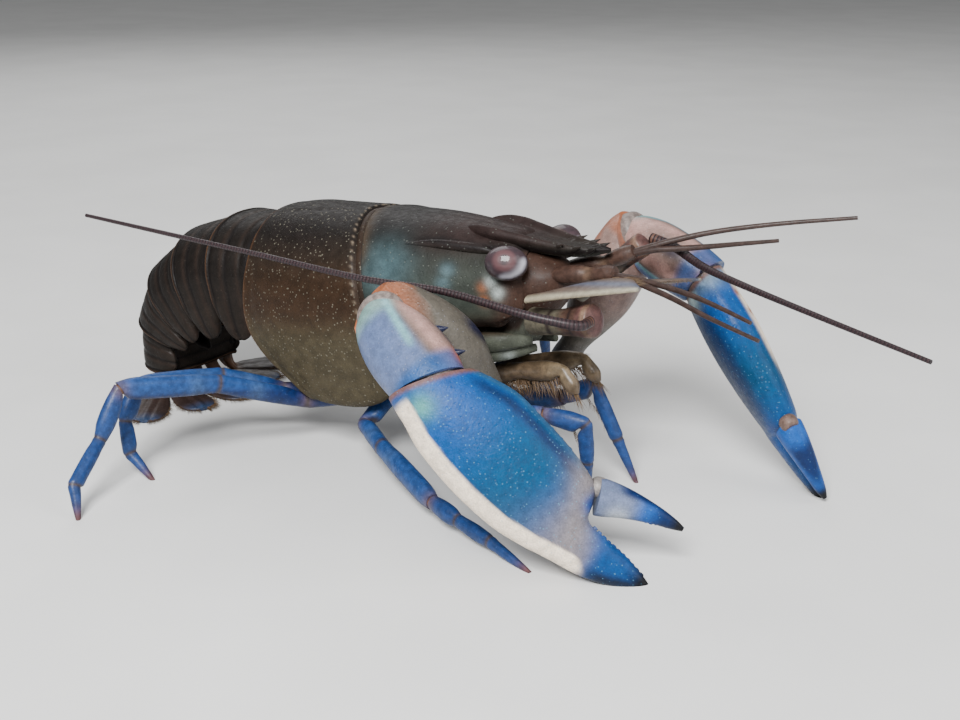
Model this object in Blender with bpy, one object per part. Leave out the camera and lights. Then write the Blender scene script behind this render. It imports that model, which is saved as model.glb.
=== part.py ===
"""A life-size still model of a blue-clawed freshwater crayfish that stands with its tail curled under.

Lengths are in millimetres until a mesh is made. The animal heads along +X, its left side is +Y, +Z is up.
Points on the body are given in the carapace's own frame: x forward from the hind edge of the carapace,
y to the left, z up from the axis. The whole body is tilted nose up about BODY_PIVOT.
Points on the limbs are given above the floor, with the same x and y.
"""
import math

import bmesh
import bpy
from mathutils import Matrix, Vector

MM = 0.001
GAP = 0.3
PITCH = math.radians(9)
BODY_PIVOT = Vector((28, 0, 0))
PIVOT_HEIGHT = 26
FOOTPRINT_CENTRE = Vector((33.8, -2.5, 0))
SIDE_SIGN = {"right": -1, "left": 1}
ACROSS = Vector((0, 1, 0))
UP = Vector((0, 0, 1))

# Carapace, from its hind edge to the rostrum's tip
CARAPACE_TOP = [(-4, 13.0), (4, 13.6), (12, 12.9), (20, 12.1), (30, 11.0), (38, 9.4), (45, 7.5)]
CARAPACE_HALF_WIDTH = [(-4, 11.6), (4, 13.2), (12, 13.8), (20, 13.4), (28, 12.0), (36, 9.6), (45, 6.6)]
CARAPACE_BOTTOM = [(-4, -11.0), (4, -13.6), (12, -15.2), (20, -15.0), (25, -12.0), (29, -7.6), (33, -4.4),
                   (38, -3.8), (45, -4.4)]
WIDEST_LEVEL = -2.0
MARGIN_ANGLE = 146
MARGIN_TUCK = 0.17
STERNUM_LEVEL = [(4, -12.6), (20, -12.6), (24, -12.6), (28, -12.4), (36, -9.4), (45, -7.0)]
STERNUM_GROOVE = 0.4
LIP_WIDTH = 1.4
UNDERSIDE_INSET = [(20, 2.8), (30, 2.8), (36, 3.4), (45, 3.0)]
SECTION_STEPS = 12
HIND_EDGE = [(0, 0.0), (50, -1.2), (90, -2.6), (115, -1.0), (132, 3.0), (146, 7.5), (180, 5.0)]
GROOVE_EDGE = [(0, 17.0), (45, 20.5), (85, 22.5), (115, 25.0), (146, 29.0), (180, 29.0)]
HEAD_FRONT = [(0, 44.5), (95, 44.5), (125, 42.4), (146, 42.0), (180, 42.0)]
THORAX_STATIONS = 10
HEAD_STATIONS = 8
EDGE_ROUND = 0.7
BODY_WALL_X = 2.0
BODY_WALL_SCALE = 0.84

ROSTRUM_ROOT = 33.0
ROSTRUM_TIP = 56.0
ROSTRUM_STATIONS = 10
ROSTRUM_HALF_WIDTH = [(33, 4.2), (36, 5.2), (42, 4.3), (48, 3.1), (52, 2.3), (54.5, 1.2), (56, 0.25)]
ROSTRUM_HEIGHT = [(33, 8.4), (36, 9.9), (42, 8.6), (48, 6.9), (52, 6.0), (56, 5.4)]
ROSTRUM_DEPTH = [(36, 4.0), (44, 2.8), (52, 1.6), (56, 0.5)]
ROSTRUM_SPINES = [49.5, 51.8, 53.8]
ROSTRUM_SPINE_RADIUS = 0.55
ORBIT_RIDGE = [(28, 3.3), (32, 3.2), (36, 3.2), (39.6, 3.2), (41.2, 3.3)]
ORBIT_RIDGE_RADII = [0.15, 0.6, 0.75, 0.65, 0.12]
MOUTH_PLATES = [
    ([(31, 7.4, -6.9), (36, 7.4, -6.2), (41, 6.2, -6.2), (44.2, 3.8, -6.6)], 1.35),
    ([(31, 6.6, -9.2), (36, 6.4, -8.3), (41, 5.0, -7.9), (44, 2.6, -7.9)], 1.25),
]
MOUTH_PLATE_SWELL = (0.5, 1.0, 0.95, 0.45)
MOUTH_PLATE_FLATNESS = 0.7

EYE_CENTRE = (44.0, 7.3, 5.1)
EYE_RADIUS = 2.75
EYE_TALL = 0.86
EYE_LONG = 1.08
EYE_STALK_DIRECTION = (-0.45, -0.8, -0.35)
EYE_STALK_REACH = 2.9
EYE_STALK_RADII = (1.5, 1.65)
ORBIT_RADIUS = 3.7

# Tail: each somite's length and how far it points below level, then the fan on the floor
TAIL_ROOT = (1.4, 0, 2.2)
SOMITE_LENGTHS = [4.2, 7.6, 7.6, 7.0, 6.6, 6.6]
SOMITE_SLOPES = [3, 10, 22, 42, 68, 104]
SOMITE_HALF_WIDTHS = [9.0, 11.2, 11.4, 10.8, 9.8, 8.2]
SOMITE_HEIGHTS = [8.9, 10.0, 9.8, 9.0, 8.0, 6.6]
PLEURON_LENGTHS = [3.0, 9.0, 8.3, 7.6, 6.8, 4.0]
SOMITE_SWELL = [(0.94, 0.35), (0.955, 0.62), (0.975, 0.95), (1.0, 1.0), (1.015, 0.78), (1.0, 0.36)]
SOMITE_BELLY = 3.2
SWIMMERET_Y = 4.2
SWIMMERET_STATIONS = [(-2.4, 0.8), (-3.6, 0.9), (-5.2, 1.35), (-7.0, 1.2), (-8.2, 0.4)]
SWIMMERET_FLATNESS = 0.4
TAIL_END_HEIGHT = 3.9
FAN_THICKNESS = 1.2
FAN_FLAT = 0.15
FAN_BLADES = {
    "telson": (0, 0, 12.5, 3.8, 0),
    "uropod_inner_right": (-1, 4.4, 11.0, 3.0, 22),
    "uropod_inner_left": (1, 4.4, 11.0, 3.0, 22),
    "uropod_outer_right": (-1, 8.0, 11.5, 3.1, 54),
    "uropod_outer_left": (1, 8.0, 11.5, 3.1, 54),
}

# Walking legs: the ends of coxa, ischium, merus, carpus, propodus and dactyl
LEGS = {
    "leg_2_right": [(29.5, -8.4, 9.0), (37, -7.2, 8.6), (48, -5, 12), (54, -4, 11.6),
                    (54, -3.2, 5.8), (53, -1, 0)],
    "leg_2_left": [(29.5, 8.4, 9.0), (35.5, 7.2, 8.2), (45, 5, 11), (50.3, 4.8, 14),
                   (54, 5.4, 6.3), (57, 6, 0)],
    "leg_3_right": [(19.4, -9.6, 5.8), (26.4, -14.2, 5.2), (40.6, -21.3, 3), (46, -23, 2.4), (52, -24.4, 1.6),
                    (59, -26, 0)],
    "leg_3_left": [(21.5, 9.4, 5.8), (22, 18.5, 9.5), (23, 31, 15.5), (22.5, 35.5, 10),
                   (21, 39, 4), (20, 41, 0)],
    "leg_4_right": [(8.5, -10, 7.4), (2.5, -22.5, 12.5), (-3, -36.2, 14.6), (-3.5, -40, 8.2),
                    (-1.6, -46.6, 4), (0.3, -48, 0)],
    "leg_4_left": [(13.5, 9.6, 5.4), (11.5, 18, 9.5), (9, 32, 14.5), (8, 36.5, 9),
                   (7, 41, 3.8), (6.5, 43, 0)],
    "leg_5_right": [(3, -9, 7.6), (-2.5, -17, 11), (-6.5, -30, 12.5), (-6.4, -32.8, 8), (-5.2, -33.4, 3.4),
                    (-1.4, -33, 0)],
    "leg_5_left": [(5.5, 9.8, 6.6), (2, 16, 9.5), (-4, 28, 13.5), (-6, 32.5, 8.5), (-8.5, 35.5, 3.6),
                   (-10, 37.5, 0)],
}
HIP_X = {"2": 25.0, "3": 19.0, "4": 13.5, "5": 8.6}
HIP_Y = 5.2
ROOT_DROP = 2.2
RING_CLEARANCE = 0.7
LEG_RADII = {"coxa": 1.5, "ischium": 1.45, "merus": 1.65, "carpus": 1.35, "propodus": 1.1}
LEG_FLATNESS = 0.8
JOINT_WAIST = 0.74
FOOT_RADII = [(0.35, 0.72), (0.75, 0.5), (1.0, 0.3)]
FOOT_SINK = 0.25
LEG_SIDES = 8

# Great claws: coxa's end, ischium's end, elbow, wrist and the fixed finger's tip on the floor
ARMS = {
    "right": [(40, -11.4, 11.2), (43.4, -12.8, 16.2), (35.3, -24.7, 29.2), (46.5, -28.5, 23.6),
              (72.9, -19.8, 0)],
    "left": [(39, 11.4, 11.2), (42, 13.5, 17), (48.6, 18.2, 33.5), (61.5, 15.6, 28.9), (81.3, 16, 0)],
}
ARM_HIP_X = 32.0
ARM_HIP_Y = 5.9
ARM_ROOT_RADII = [1.9, 2.1, 2.3, 2.6, 2.7]
ARM_ROOT_SAG = 1.6
ARM_SWELL = [(0.15, 4.2), (0.36, 5.9), (0.58, 6.2), (0.78, 5.7), (0.92, 5.0), (1.0, 4.0)]
ARM_BOW = {"right": 0.7, "left": -0.7}
ARM_FLATNESS = 0.8
ARM_ACROSS = {"right": Vector((0.36, 0.56, 0.75)), "left": Vector((0.3, -0.95, 0))}
ARM_SIDES = 12
CLAW_MEDIAL = {"right": Vector((0.35, 0.67, 0.66)), "left": Vector((0.53, -0.78, 0.35))}
PALM_STATIONS = [
    (-0.13, 2.6, 4.6, 2.7), (-0.05, 3.2, 5.7, 3.0), (0.02, 4.0, 6.4, 3.2), (0.10, 5.0, 7.4, 3.5),
    (0.22, 6.1, 8.1, 3.7), (0.34, 6.0, 8.4, 3.6), (0.48, 5.6, 8.2, 3.2), (0.60, 4.7, 7.3, 2.7),
    (0.635, 4.2, 6.9, 2.5), (0.665, 2.6, 6.6, 2.35), (0.695, 0.5, 6.3, 2.2), (0.78, 0.3, 5.5, 1.8),
    (0.87, 0.4, 4.2, 1.4), (0.95, 0.1, 2.4, 0.9), (1.00, -0.3, 1.0, 0.4),
]
PALM_SIDES = 14
SHOULDER = [(0.635, 4.2), (0.695, 0.5)]
ARM_OVERRUN = 1.6
CARPUS_OVERRUN = (1.4, 3.0)
WRIST_TILT = {"right": 0.42, "left": 0.0}
FINGER_ROOT = (0.63, 2.7)
FINGER_TIP = {"right": (0.954, 7.7), "left": (0.985, 1.6)}
FINGER_RADII = [(0.0, 2.3, 2.0), (0.15, 2.4, 2.0), (0.4, 1.9, 1.65), (0.7, 1.2, 1.1), (0.9, 0.7, 0.7),
                (1.0, 0.3, 0.3)]
FINGER_BOW = 0.6
FINGER_SIDES = 10
CARPUS_STATIONS = [(0.0, 2.4, 2.4, 2.3), (0.13, 3.4, 4.2, 3.5), (0.35, 4.3, 5.4, 4.2), (0.6, 4.7, 5.6, 4.2),
                   (0.8, 4.3, 5.1, 3.9), (1.0, 3.2, 3.6, 3.2)]
THORNS = [(0.5, 3.6, 2.4), (0.74, 3.2, 2.6)]
THORN_RADIUS = 0.85

# Feelers and mouth: points above the floor
ANTENNA_BASE = {
    "right": [(46.6, -5.6, 25.6), (50.5, -6.6, 26.4), (54, -7.0, 27.2), (56.6, -7.2, 27.8)],
    "left": [(46.6, 5.6, 27.4), (50.2, 6.0, 30.2), (53.6, 6.3, 33.0), (56.2, 6.6, 35.2)],
}
ANTENNA_BASE_RADII = {"right": [2.3, 2.2, 2.5], "left": [2.3, 2.2, 1.9]}
KNOB_DOME = [(0.4, 0.7), (0.65, 0.4)]
WHIPS = {
    "right": [(57.4, -9.3, 28.4), (57.1, -11.7, 28.4), (54.2, -13.6, 29.0), (50, -15.0, 29.7),
              (39, -16.3, 31.1), (27, -18.8, 31.6), (10.5, -20.4, 32.7), (-7.7, -21.8, 33.7),
              (-24, -22, 34.2)],
    "left": [(57.4, 6.8, 36.2), (61.2, 6.4, 35.5), (66.5, 3.8, 34.3), (73, 0.8, 33.7), (85.6, -4, 32.7),
             (101, -9.3, 31.4)],
}
WHIP_RADII = (0.74, 0.28)
WHIP_STEPS = 5
ANTENNULES = {
    "right": [(47.6, -1.9, 31.4), (53, -2.0, 32.4), (57, -2.4, 33.2)],
    "left": [(47.6, 1.9, 31.6), (53, 2.0, 33.2), (57, 2.6, 35.2)],
}
ANTENNULE_RADII = [1.3, 1.15]
ANTENNULE_WHIPS = {
    "right": [[(57, -2.4, 33.2), (65.6, -4, 31.9), (72, -6, 30.8), (80, -8, 29.6)],
              [(57, -2.4, 33.2), (66, -3, 32.6), (72, -4.4, 32), (78, -6, 31)]],
    "left": [[(57, 2.6, 35.2), (65.3, 6, 38), (74, 9, 39.9), (84, 12, 41.5)],
             [(57, 2.6, 35.2), (65, 4.6, 36.4), (71, 5.4, 37.6), (76, 6, 38.6)]],
}
ANTENNULE_WHIP_RADII = (0.46, 0.25)
SCALE_EDGE = {
    "right": [(47.5, -9.4, 29.6), (63.5, -8.4, 33.4)],
    "left": [(47.2, 10.4, 27.1), (63.8, 9.2, 30.8)],
}
SCALE_STATIONS = [(0, 1.0, 0.7), (0.12, 1.4, 0.75), (0.35, 3.4, 0.7), (0.6, 4.4, 0.6), (0.82, 3.4, 0.5),
                  (0.94, 1.4, 0.4), (1, 0.3, 0.25)]
JAW_FOOT_X = 31.0
JAW_FOOT_Y = 1.8
JAW_FOOT_POINTS = [(34, 1.8, 13.6), (42, 2.4, 16.6), (49.5, 2.9, 18.2), (52, 3.0, 15.4)]
JAW_FOOT_RADII = [1.15, 1.4, 1.4, 1.1]


# Curves and frames
def at(pairs, x):
    """Value at x of the smooth curve through (x, value) pairs."""
    if x <= pairs[0][0]:
        return pairs[0][1]
    for i in range(len(pairs) - 1):
        x0, y0 = pairs[i]
        x1, y1 = pairs[i + 1]
        if x <= x1:
            before = pairs[max(i - 1, 0)]
            after = pairs[min(i + 2, len(pairs) - 1)]
            slope0 = (y1 - before[1]) / (x1 - before[0])
            slope1 = (after[1] - y0) / (after[0] - x0)
            t = (x - x0) / (x1 - x0)
            run = x1 - x0
            rise0 = slope0 * run * (t - 2 * t * t + t ** 3)
            rise1 = slope1 * run * (t ** 3 - t * t)
            return y0 + (y1 - y0) * (3 * t * t - 2 * t ** 3) + rise0 + rise1
    return pairs[-1][1]


def between(a, b, c, d, t):
    """Point at t between b and c on the smooth curve through four points."""
    square = 2 * a - 5 * b + 4 * c - d
    cube = 3 * b - a - 3 * c + d
    return 0.5 * (2 * b + (c - a) * t + square * t ** 2 + cube * t ** 3)


def smooth_path(points, steps):
    """Points of a smooth curve through the given ones."""
    knots = [Vector(p) for p in points]
    ends = [knots[0] * 2 - knots[1]] + knots + [knots[-1] * 2 - knots[-2]]
    path = []
    for i in range(1, len(ends) - 2):
        for k in range(steps):
            path.append(between(*ends[i - 1:i + 3], k / steps))
    return path + [knots[-1]]


def body(x, y, z):
    """A point of the tilted body, above the floor."""
    turned = Matrix.Rotation(-PITCH, 3, "Y") @ (Vector((x, y, z)) - BODY_PIVOT)
    return turned + Vector((BODY_PIVOT.x, 0, PIVOT_HEIGHT))


def body_direction(x, y, z):
    return (Matrix.Rotation(-PITCH, 3, "Y") @ Vector((x, y, z))).normalized()


def mirrored(vector, side):
    return Vector((vector[0], vector[1] * SIDE_SIGN[side], vector[2]))


# Rings
def oval(centre, normal, side, half_side, half_depth, count):
    """Ring round a centre, square to the normal, with its first point towards side."""
    normal = normal.normalized()
    across = (side - side.dot(normal) * normal).normalized()
    deep = normal.cross(across)
    ring = []
    for i in range(count):
        angle = math.tau * i / count
        ring.append(centre + across * half_side * math.cos(angle) + deep * half_depth * math.sin(angle))
    return ring


def path_rings(points, half_sides, half_depths, side, count, start_normal=None, end_normal=None):
    """Rings along a path, square to it at the ends unless a normal is given."""
    rings = []
    last = len(points) - 1
    for i, point in enumerate(points):
        normal = Vector()
        if i < last:
            normal += (points[i + 1] - point).normalized()
        if i > 0:
            normal += (point - points[i - 1]).normalized()
        if i == 0 and start_normal is not None:
            normal = start_normal
        if i == last and end_normal is not None:
            normal = end_normal
        rings.append(oval(point, normal, side, half_sides[i], half_depths[i], count))
    return rings


def joint_normal(before, joint, after):
    return ((joint - before).normalized() + (after - joint).normalized()).normalized()


def spine_rings(root, tip, radius, count=6):
    side = ACROSS if abs((tip - root).normalized().y) < 0.8 else Vector((1, 0, 0))
    rings = []
    for t, scale in ((0, 1), (0.45, 0.72), (1, 0.08)):
        rings.append(oval(root.lerp(tip, t), tip - root, side, radius * scale, radius * scale, count))
    return rings


# Carapace
def section_point(x, step):
    """Point of the carapace's outer section: step 0 is the top, SECTION_STEPS the lower margin."""
    degrees = MARGIN_ANGLE * step / SECTION_STEPS
    wide = at(CARAPACE_HALF_WIDTH, x)
    if degrees <= 90:
        angle = math.radians(degrees)
        y = wide * math.sin(angle) ** 0.85
        z = WIDEST_LEVEL + (at(CARAPACE_TOP, x) - WIDEST_LEVEL) * max(math.cos(angle), 0) ** 0.95
    else:
        down = (degrees - 90) / (MARGIN_ANGLE - 90)
        y = wide * (1 - MARGIN_TUCK * down ** 2)
        z = WIDEST_LEVEL + (at(CARAPACE_BOTTOM, x) - WIDEST_LEVEL) * down
    return Vector((x, y, z))


def carapace_ring(edge_x, inset=0.0):
    """Closed ring: over the back, round both margins and across the underside."""
    half = []
    for step in range(SECTION_STEPS + 1):
        half.append(section_point(edge_x(MARGIN_ANGLE * step / SECTION_STEPS), step))
    margin = half[-1]
    under_x = edge_x(180)
    inner_x = 0.5 * (margin.x + under_x)
    half.append(Vector((margin.x, margin.y - LIP_WIDTH, margin.z + 0.2)))
    half.append(Vector((inner_x, margin.y - at(UNDERSIDE_INSET, inner_x), at(STERNUM_LEVEL, inner_x))))
    sternum = Vector((under_x, 0, at(STERNUM_LEVEL, under_x) + STERNUM_GROOVE))
    ring = half + [sternum] + [Vector((p.x, -p.y, p.z)) for p in half[:0:-1]]
    middle = sum(ring, Vector()) / len(ring)
    drawn = []
    for p in ring:
        out = Vector((0, p.y - middle.y, p.z - middle.z))
        drawn.append(body(*(p - out.normalized() * inset)))
    return drawn


def edge_between(rear, front, t, shift=0.0):
    """How far forward a ring lies at each angle round the body, at t from the rear edge to the front one."""
    return lambda degrees: at(rear, degrees) * (1 - t) + at(front, degrees) * t + shift


def thorax_rings():
    centre = body(BODY_WALL_X, 0, 0)
    back = body_direction(1, 0, 0)
    wall = []
    for p in carapace_ring(edge_between(HIND_EDGE, HIND_EDGE, 0)):
        shrunk = centre + (p - centre) * BODY_WALL_SCALE
        wall.append(shrunk + back * (centre - shrunk).dot(back))
    rings = [wall, carapace_ring(edge_between(HIND_EDGE, GROOVE_EDGE, 0), EDGE_ROUND)]
    for i in range(THORAX_STATIONS):
        t = 0.02 + 0.93 * i / (THORAX_STATIONS - 1)
        rings.append(carapace_ring(edge_between(HIND_EDGE, GROOVE_EDGE, t)))
    rings.append(carapace_ring(edge_between(HIND_EDGE, GROOVE_EDGE, 1, -GAP / 2), EDGE_ROUND))
    return rings


def head_rings():
    rings = [carapace_ring(edge_between(GROOVE_EDGE, HEAD_FRONT, 0, GAP / 2), EDGE_ROUND)]
    for i in range(HEAD_STATIONS):
        t = 0.04 + 0.9 * i / (HEAD_STATIONS - 1)
        rings.append(carapace_ring(edge_between(GROOVE_EDGE, HEAD_FRONT, t)))
    rings.append(carapace_ring(edge_between(GROOVE_EDGE, HEAD_FRONT, 1), 1.2))
    return rings


def rostrum_ring(x):
    wide = at(ROSTRUM_HALF_WIDTH, x)
    top = at(ROSTRUM_HEIGHT, x)
    deep = at(ROSTRUM_DEPTH, x)
    half = [(0, top - 0.18 * deep), (0.62 * wide, top - 0.16 * deep), (0.86 * wide, top + 0.12 * deep),
            (wide, top - 0.2 * deep), (0.62 * wide, top - 0.8 * deep), (0, top - deep)]
    return [body(x, y, z) for y, z in half] + [body(x, -y, z) for y, z in half[-2:0:-1]]


def rostrum_rings():
    step = (ROSTRUM_TIP - ROSTRUM_ROOT) / ROSTRUM_STATIONS
    return [rostrum_ring(ROSTRUM_ROOT + step * i) for i in range(ROSTRUM_STATIONS + 1)]


def head_detail_rings(side):
    """Rings of the spines on one edge of the rostrum, then of the ridge behind the orbit."""
    sign = SIDE_SIGN[side]
    details = []
    for x in ROSTRUM_SPINES:
        y = sign * at(ROSTRUM_HALF_WIDTH, x)
        z = at(ROSTRUM_HEIGHT, x) - 0.1
        details.append(spine_rings(body(x - 1.0, 0.7 * y, z - 0.4), body(x + 1.3, 1.12 * y, z + 0.3),
                                   ROSTRUM_SPINE_RADIUS))
    ridge = [body(p.x, sign * p.y, p.z) for p in (section_point(x, step) for x, step in ORBIT_RIDGE)]
    details.append(path_rings(ridge, ORBIT_RIDGE_RADII, ORBIT_RIDGE_RADII, ACROSS, 6))
    return details


def mouth_plate_rings(side):
    """Two curved plates on each side of the mouth, below the head's margin."""
    plates = []
    for route, radius in MOUTH_PLATES:
        path = [body(x, SIDE_SIGN[side] * y, z) for x, y, z in route]
        sizes = [radius * k for k in MOUTH_PLATE_SWELL]
        plates.append(path_rings(path, [r * MOUTH_PLATE_FLATNESS for r in sizes], sizes, ACROSS, 8))
    return plates


def eye_centre(side):
    return body(EYE_CENTRE[0], EYE_CENTRE[1] * SIDE_SIGN[side], EYE_CENTRE[2])


def eye_inward(side):
    x, y, z = EYE_STALK_DIRECTION
    return body_direction(x, y * SIDE_SIGN[side], z)


def eye_rings(side, sides=14, steps=7):
    """A short stalk and a globe, turned about the stalk's axis."""
    profile = [(-EYE_STALK_REACH, EYE_STALK_RADII[0]), (-0.82 * EYE_RADIUS, EYE_STALK_RADII[1])]
    for i in range(steps + 1):
        angle = math.radians(-48 + 122.5 * i / steps)
        profile.append((EYE_RADIUS * math.sin(angle), EYE_RADIUS * math.cos(angle)))
    inward = eye_inward(side)
    return [oval(eye_centre(side) - inward * along, inward, UP, r * EYE_TALL, r * EYE_LONG, sides)
            for along, r in profile]


# Tail
def tail_line(scale):
    """Hinge line of the somites, with slopes scaled: each hinge, each slope and the end."""
    point = body(*TAIL_ROOT)
    points, slopes = [point], []
    for length, slope in zip(SOMITE_LENGTHS, SOMITE_SLOPES):
        angle = math.radians(slope * scale)
        point = point + Vector((-math.cos(angle), 0, -math.sin(angle))) * length
        points.append(point)
        slopes.append(angle)
    return points, slopes


def curled_tail():
    """The hinge line whose slopes bring the end of the tail down to its height."""
    low, high = 0.6, 1.4
    for _ in range(40):
        scale = 0.5 * (low + high)
        if tail_line(scale)[0][-1].z > TAIL_END_HEIGHT:
            low = scale
        else:
            high = scale
    return tail_line(0.5 * (low + high))


def somite_ring(centre, slope, wide, high, pleuron):
    """Domed back, a hanging pleuron on each side and a hollow underside, square to the tail's line."""
    up = Vector((-math.sin(slope), 0, math.cos(slope)))
    half = []
    for i in range(8):
        angle = math.radians(96 * i / 7)
        half.append((wide * math.sin(angle) ** 0.9, high * max(math.cos(angle), 0) ** 0.9 - 0.5 * (i == 7)))
    half.append((wide * 0.98, -0.55 * pleuron))
    half.append((wide * 0.90, -pleuron))
    half.append((wide * 0.82, -0.95 * pleuron))
    half.append((wide * 0.78, -min(3.0, 0.9 * pleuron)))
    ring = half + [(0, -SOMITE_BELLY)] + [(-y, z) for y, z in half[:0:-1]]
    return [centre + Vector((0, y, 0)) + up * z for y, z in ring]


def abdomen_rings():
    """Rings of each of the six somites."""
    points, slopes = curled_tail()
    slopes_at = [PITCH] + [0.5 * (a + b) for a, b in zip(slopes, slopes[1:])] + [slopes[-1]]
    somites = []
    for i in range(6):
        near = (max(i - 1, 0), min(i + 1, 5))
        wides = [0.5 * (SOMITE_HALF_WIDTHS[i] + SOMITE_HALF_WIDTHS[k]) for k in near]
        highs = [0.5 * (SOMITE_HEIGHTS[i] + SOMITE_HEIGHTS[k]) for k in near]
        margin = 0.5 * GAP / SOMITE_LENGTHS[i]
        rings = []
        for t, (swell, lobe) in zip((margin, 0.10, 0.3, 0.62, 0.88, 1 - margin), SOMITE_SWELL):
            slope = slopes_at[i] * (1 - t) + slopes_at[i + 1] * t
            wide = (wides[0] * (1 - t) + wides[1] * t) * swell
            high = (highs[0] * (1 - t) + highs[1] * t) * swell
            pleuron = max(SOMITE_BELLY, PLEURON_LENGTHS[i] * lobe)
            rings.append(somite_ring(points[i].lerp(points[i + 1], t), slope, wide, high, pleuron))
        somites.append(rings)
    return somites


def swimmeret_rings(somite, side):
    """A small flat paddle below the middle of a somite, counted from 0."""
    points, slopes = curled_tail()
    middle = points[somite].lerp(points[somite + 1], 0.5)
    up = Vector((-math.sin(slopes[somite]), 0, math.cos(slopes[somite])))
    path = [middle + mirrored((0, SWIMMERET_Y, 0), side) + up * depth for depth, _ in SWIMMERET_STATIONS]
    wides = [wide for _, wide in SWIMMERET_STATIONS]
    return path_rings(path, wides, [w * SWIMMERET_FLATNESS for w in wides], ACROSS, 8)


def fan_heading(name):
    sign, _, _, _, degrees = FAN_BLADES[name]
    spread = math.radians(degrees)
    return Vector((math.cos(spread), sign * math.sin(spread), 0))


def fan_start(name):
    """Root of a blade below the last somite, and where it comes down flat."""
    points, slopes = curled_tail()
    out = Vector((-math.cos(slopes[-1]), 0, -math.sin(slopes[-1])))
    sign, offset, _, _, _ = FAN_BLADES[name]
    root = points[-1] + out * GAP + Vector((0, sign * offset, 0))
    bend = root + out * 1.3
    flat = Vector((bend.x, bend.y, 0.5 * FAN_THICKNESS - FAN_FLAT)) + fan_heading(name) * 1.4
    return root, bend, flat


def fan_rings(name):
    """Telson and uropods leave the last somite and lie forward on the floor."""
    _, _, length, wide, _ = FAN_BLADES[name]
    heading = fan_heading(name)
    side = Vector((-heading.y, heading.x, 0))
    root, bend, flat = fan_start(name)
    path = [root, bend] + [flat + heading * length * t for t in (0, 0.15, 0.35, 0.6, 0.8, 0.93, 1)]
    sides = [wide * k for k in (0.45, 0.5, 0.62, 0.74, 0.9, 1.0, 0.94, 0.7, 0.25)]
    depths = [1.2, 1.1] + [0.5 * FAN_THICKNESS] * 5 + [0.45, 0.3]
    return path_rings(path, sides, depths, side, 10)


# Limbs
def hip_on_sternum(x, y):
    """Where a limb leaves the underside, a gap below it, and the direction straight out."""
    slope = at(STERNUM_LEVEL, x + 1) - at(STERNUM_LEVEL, x - 1)
    out = Vector((slope, 0, -2)).normalized()
    point = Vector((x, y, at(STERNUM_LEVEL, x))) + out * GAP
    return body(*point), body_direction(*out)


def limb_profile(joints, radii, waists, flatness=1.0):
    """Path points and half sizes for segments that swell between narrow joints."""
    points, sides, depths = [], [], []
    for i, (a, b) in enumerate(zip(joints, joints[1:])):
        stations = ((0.0, waists[i]), (0.3, 0.97), (0.72, 1.0), (0.9, 0.94))
        if (b - a).length <= ROOT_DROP:
            stations = stations[:1]
        for t, scale in stations:
            if t > 0 and min(t, 1 - t) * (b - a).length < RING_CLEARANCE * radii[i]:
                continue
            points.append(a.lerp(b, t))
            sides.append(radii[i] * scale * flatness)
            depths.append(radii[i] * scale)
    points.append(joints[-1])
    sides.append(radii[-1] * waists[-1] * flatness)
    depths.append(radii[-1] * waists[-1])
    return points, sides, depths


def leg_joints(name):
    """Hip, the hip's direction, and the joints after it down to the foot."""
    side = name.split("_")[2]
    hip, out = hip_on_sternum(HIP_X[name.split("_")[1]], HIP_Y * SIDE_SIGN[side])
    return hip, out, [Vector(p) for p in LEGS[name]]


def leg_rings(name):
    """Rings of the leg above its knee and below it."""
    hip, out, (coxa, ischium, knee, wrist, ankle, tip) = leg_joints(name)
    across = (tip - hip).cross(UP).normalized()
    bend = joint_normal(ischium, knee, wrist)
    radii = [LEG_RADII[n] for n in ("coxa", "coxa", "ischium", "merus")]
    joints = [hip, hip + out * ROOT_DROP, coxa, ischium, knee - bend * GAP / 2]
    points, sides, depths = limb_profile(joints, radii, (1, 1, 0.8, 0.8, JOINT_WAIST), LEG_FLATNESS)
    upper = path_rings(points, sides, depths, across, LEG_SIDES, out, bend)
    radii = [LEG_RADII[n] for n in ("carpus", "propodus")]
    joints = [knee + bend * GAP / 2, wrist, ankle]
    points, sides, depths = limb_profile(joints, radii, (0.8, 0.8, 0.75), LEG_FLATNESS)
    foot = tip + (tip - ankle).normalized() * FOOT_SINK
    for t, radius in FOOT_RADII:
        points.append(ankle.lerp(foot, t))
        sides.append(radius * 0.9)
        depths.append(radius)
    return upper, path_rings(points, sides, depths, across, LEG_SIDES, bend)


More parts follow.
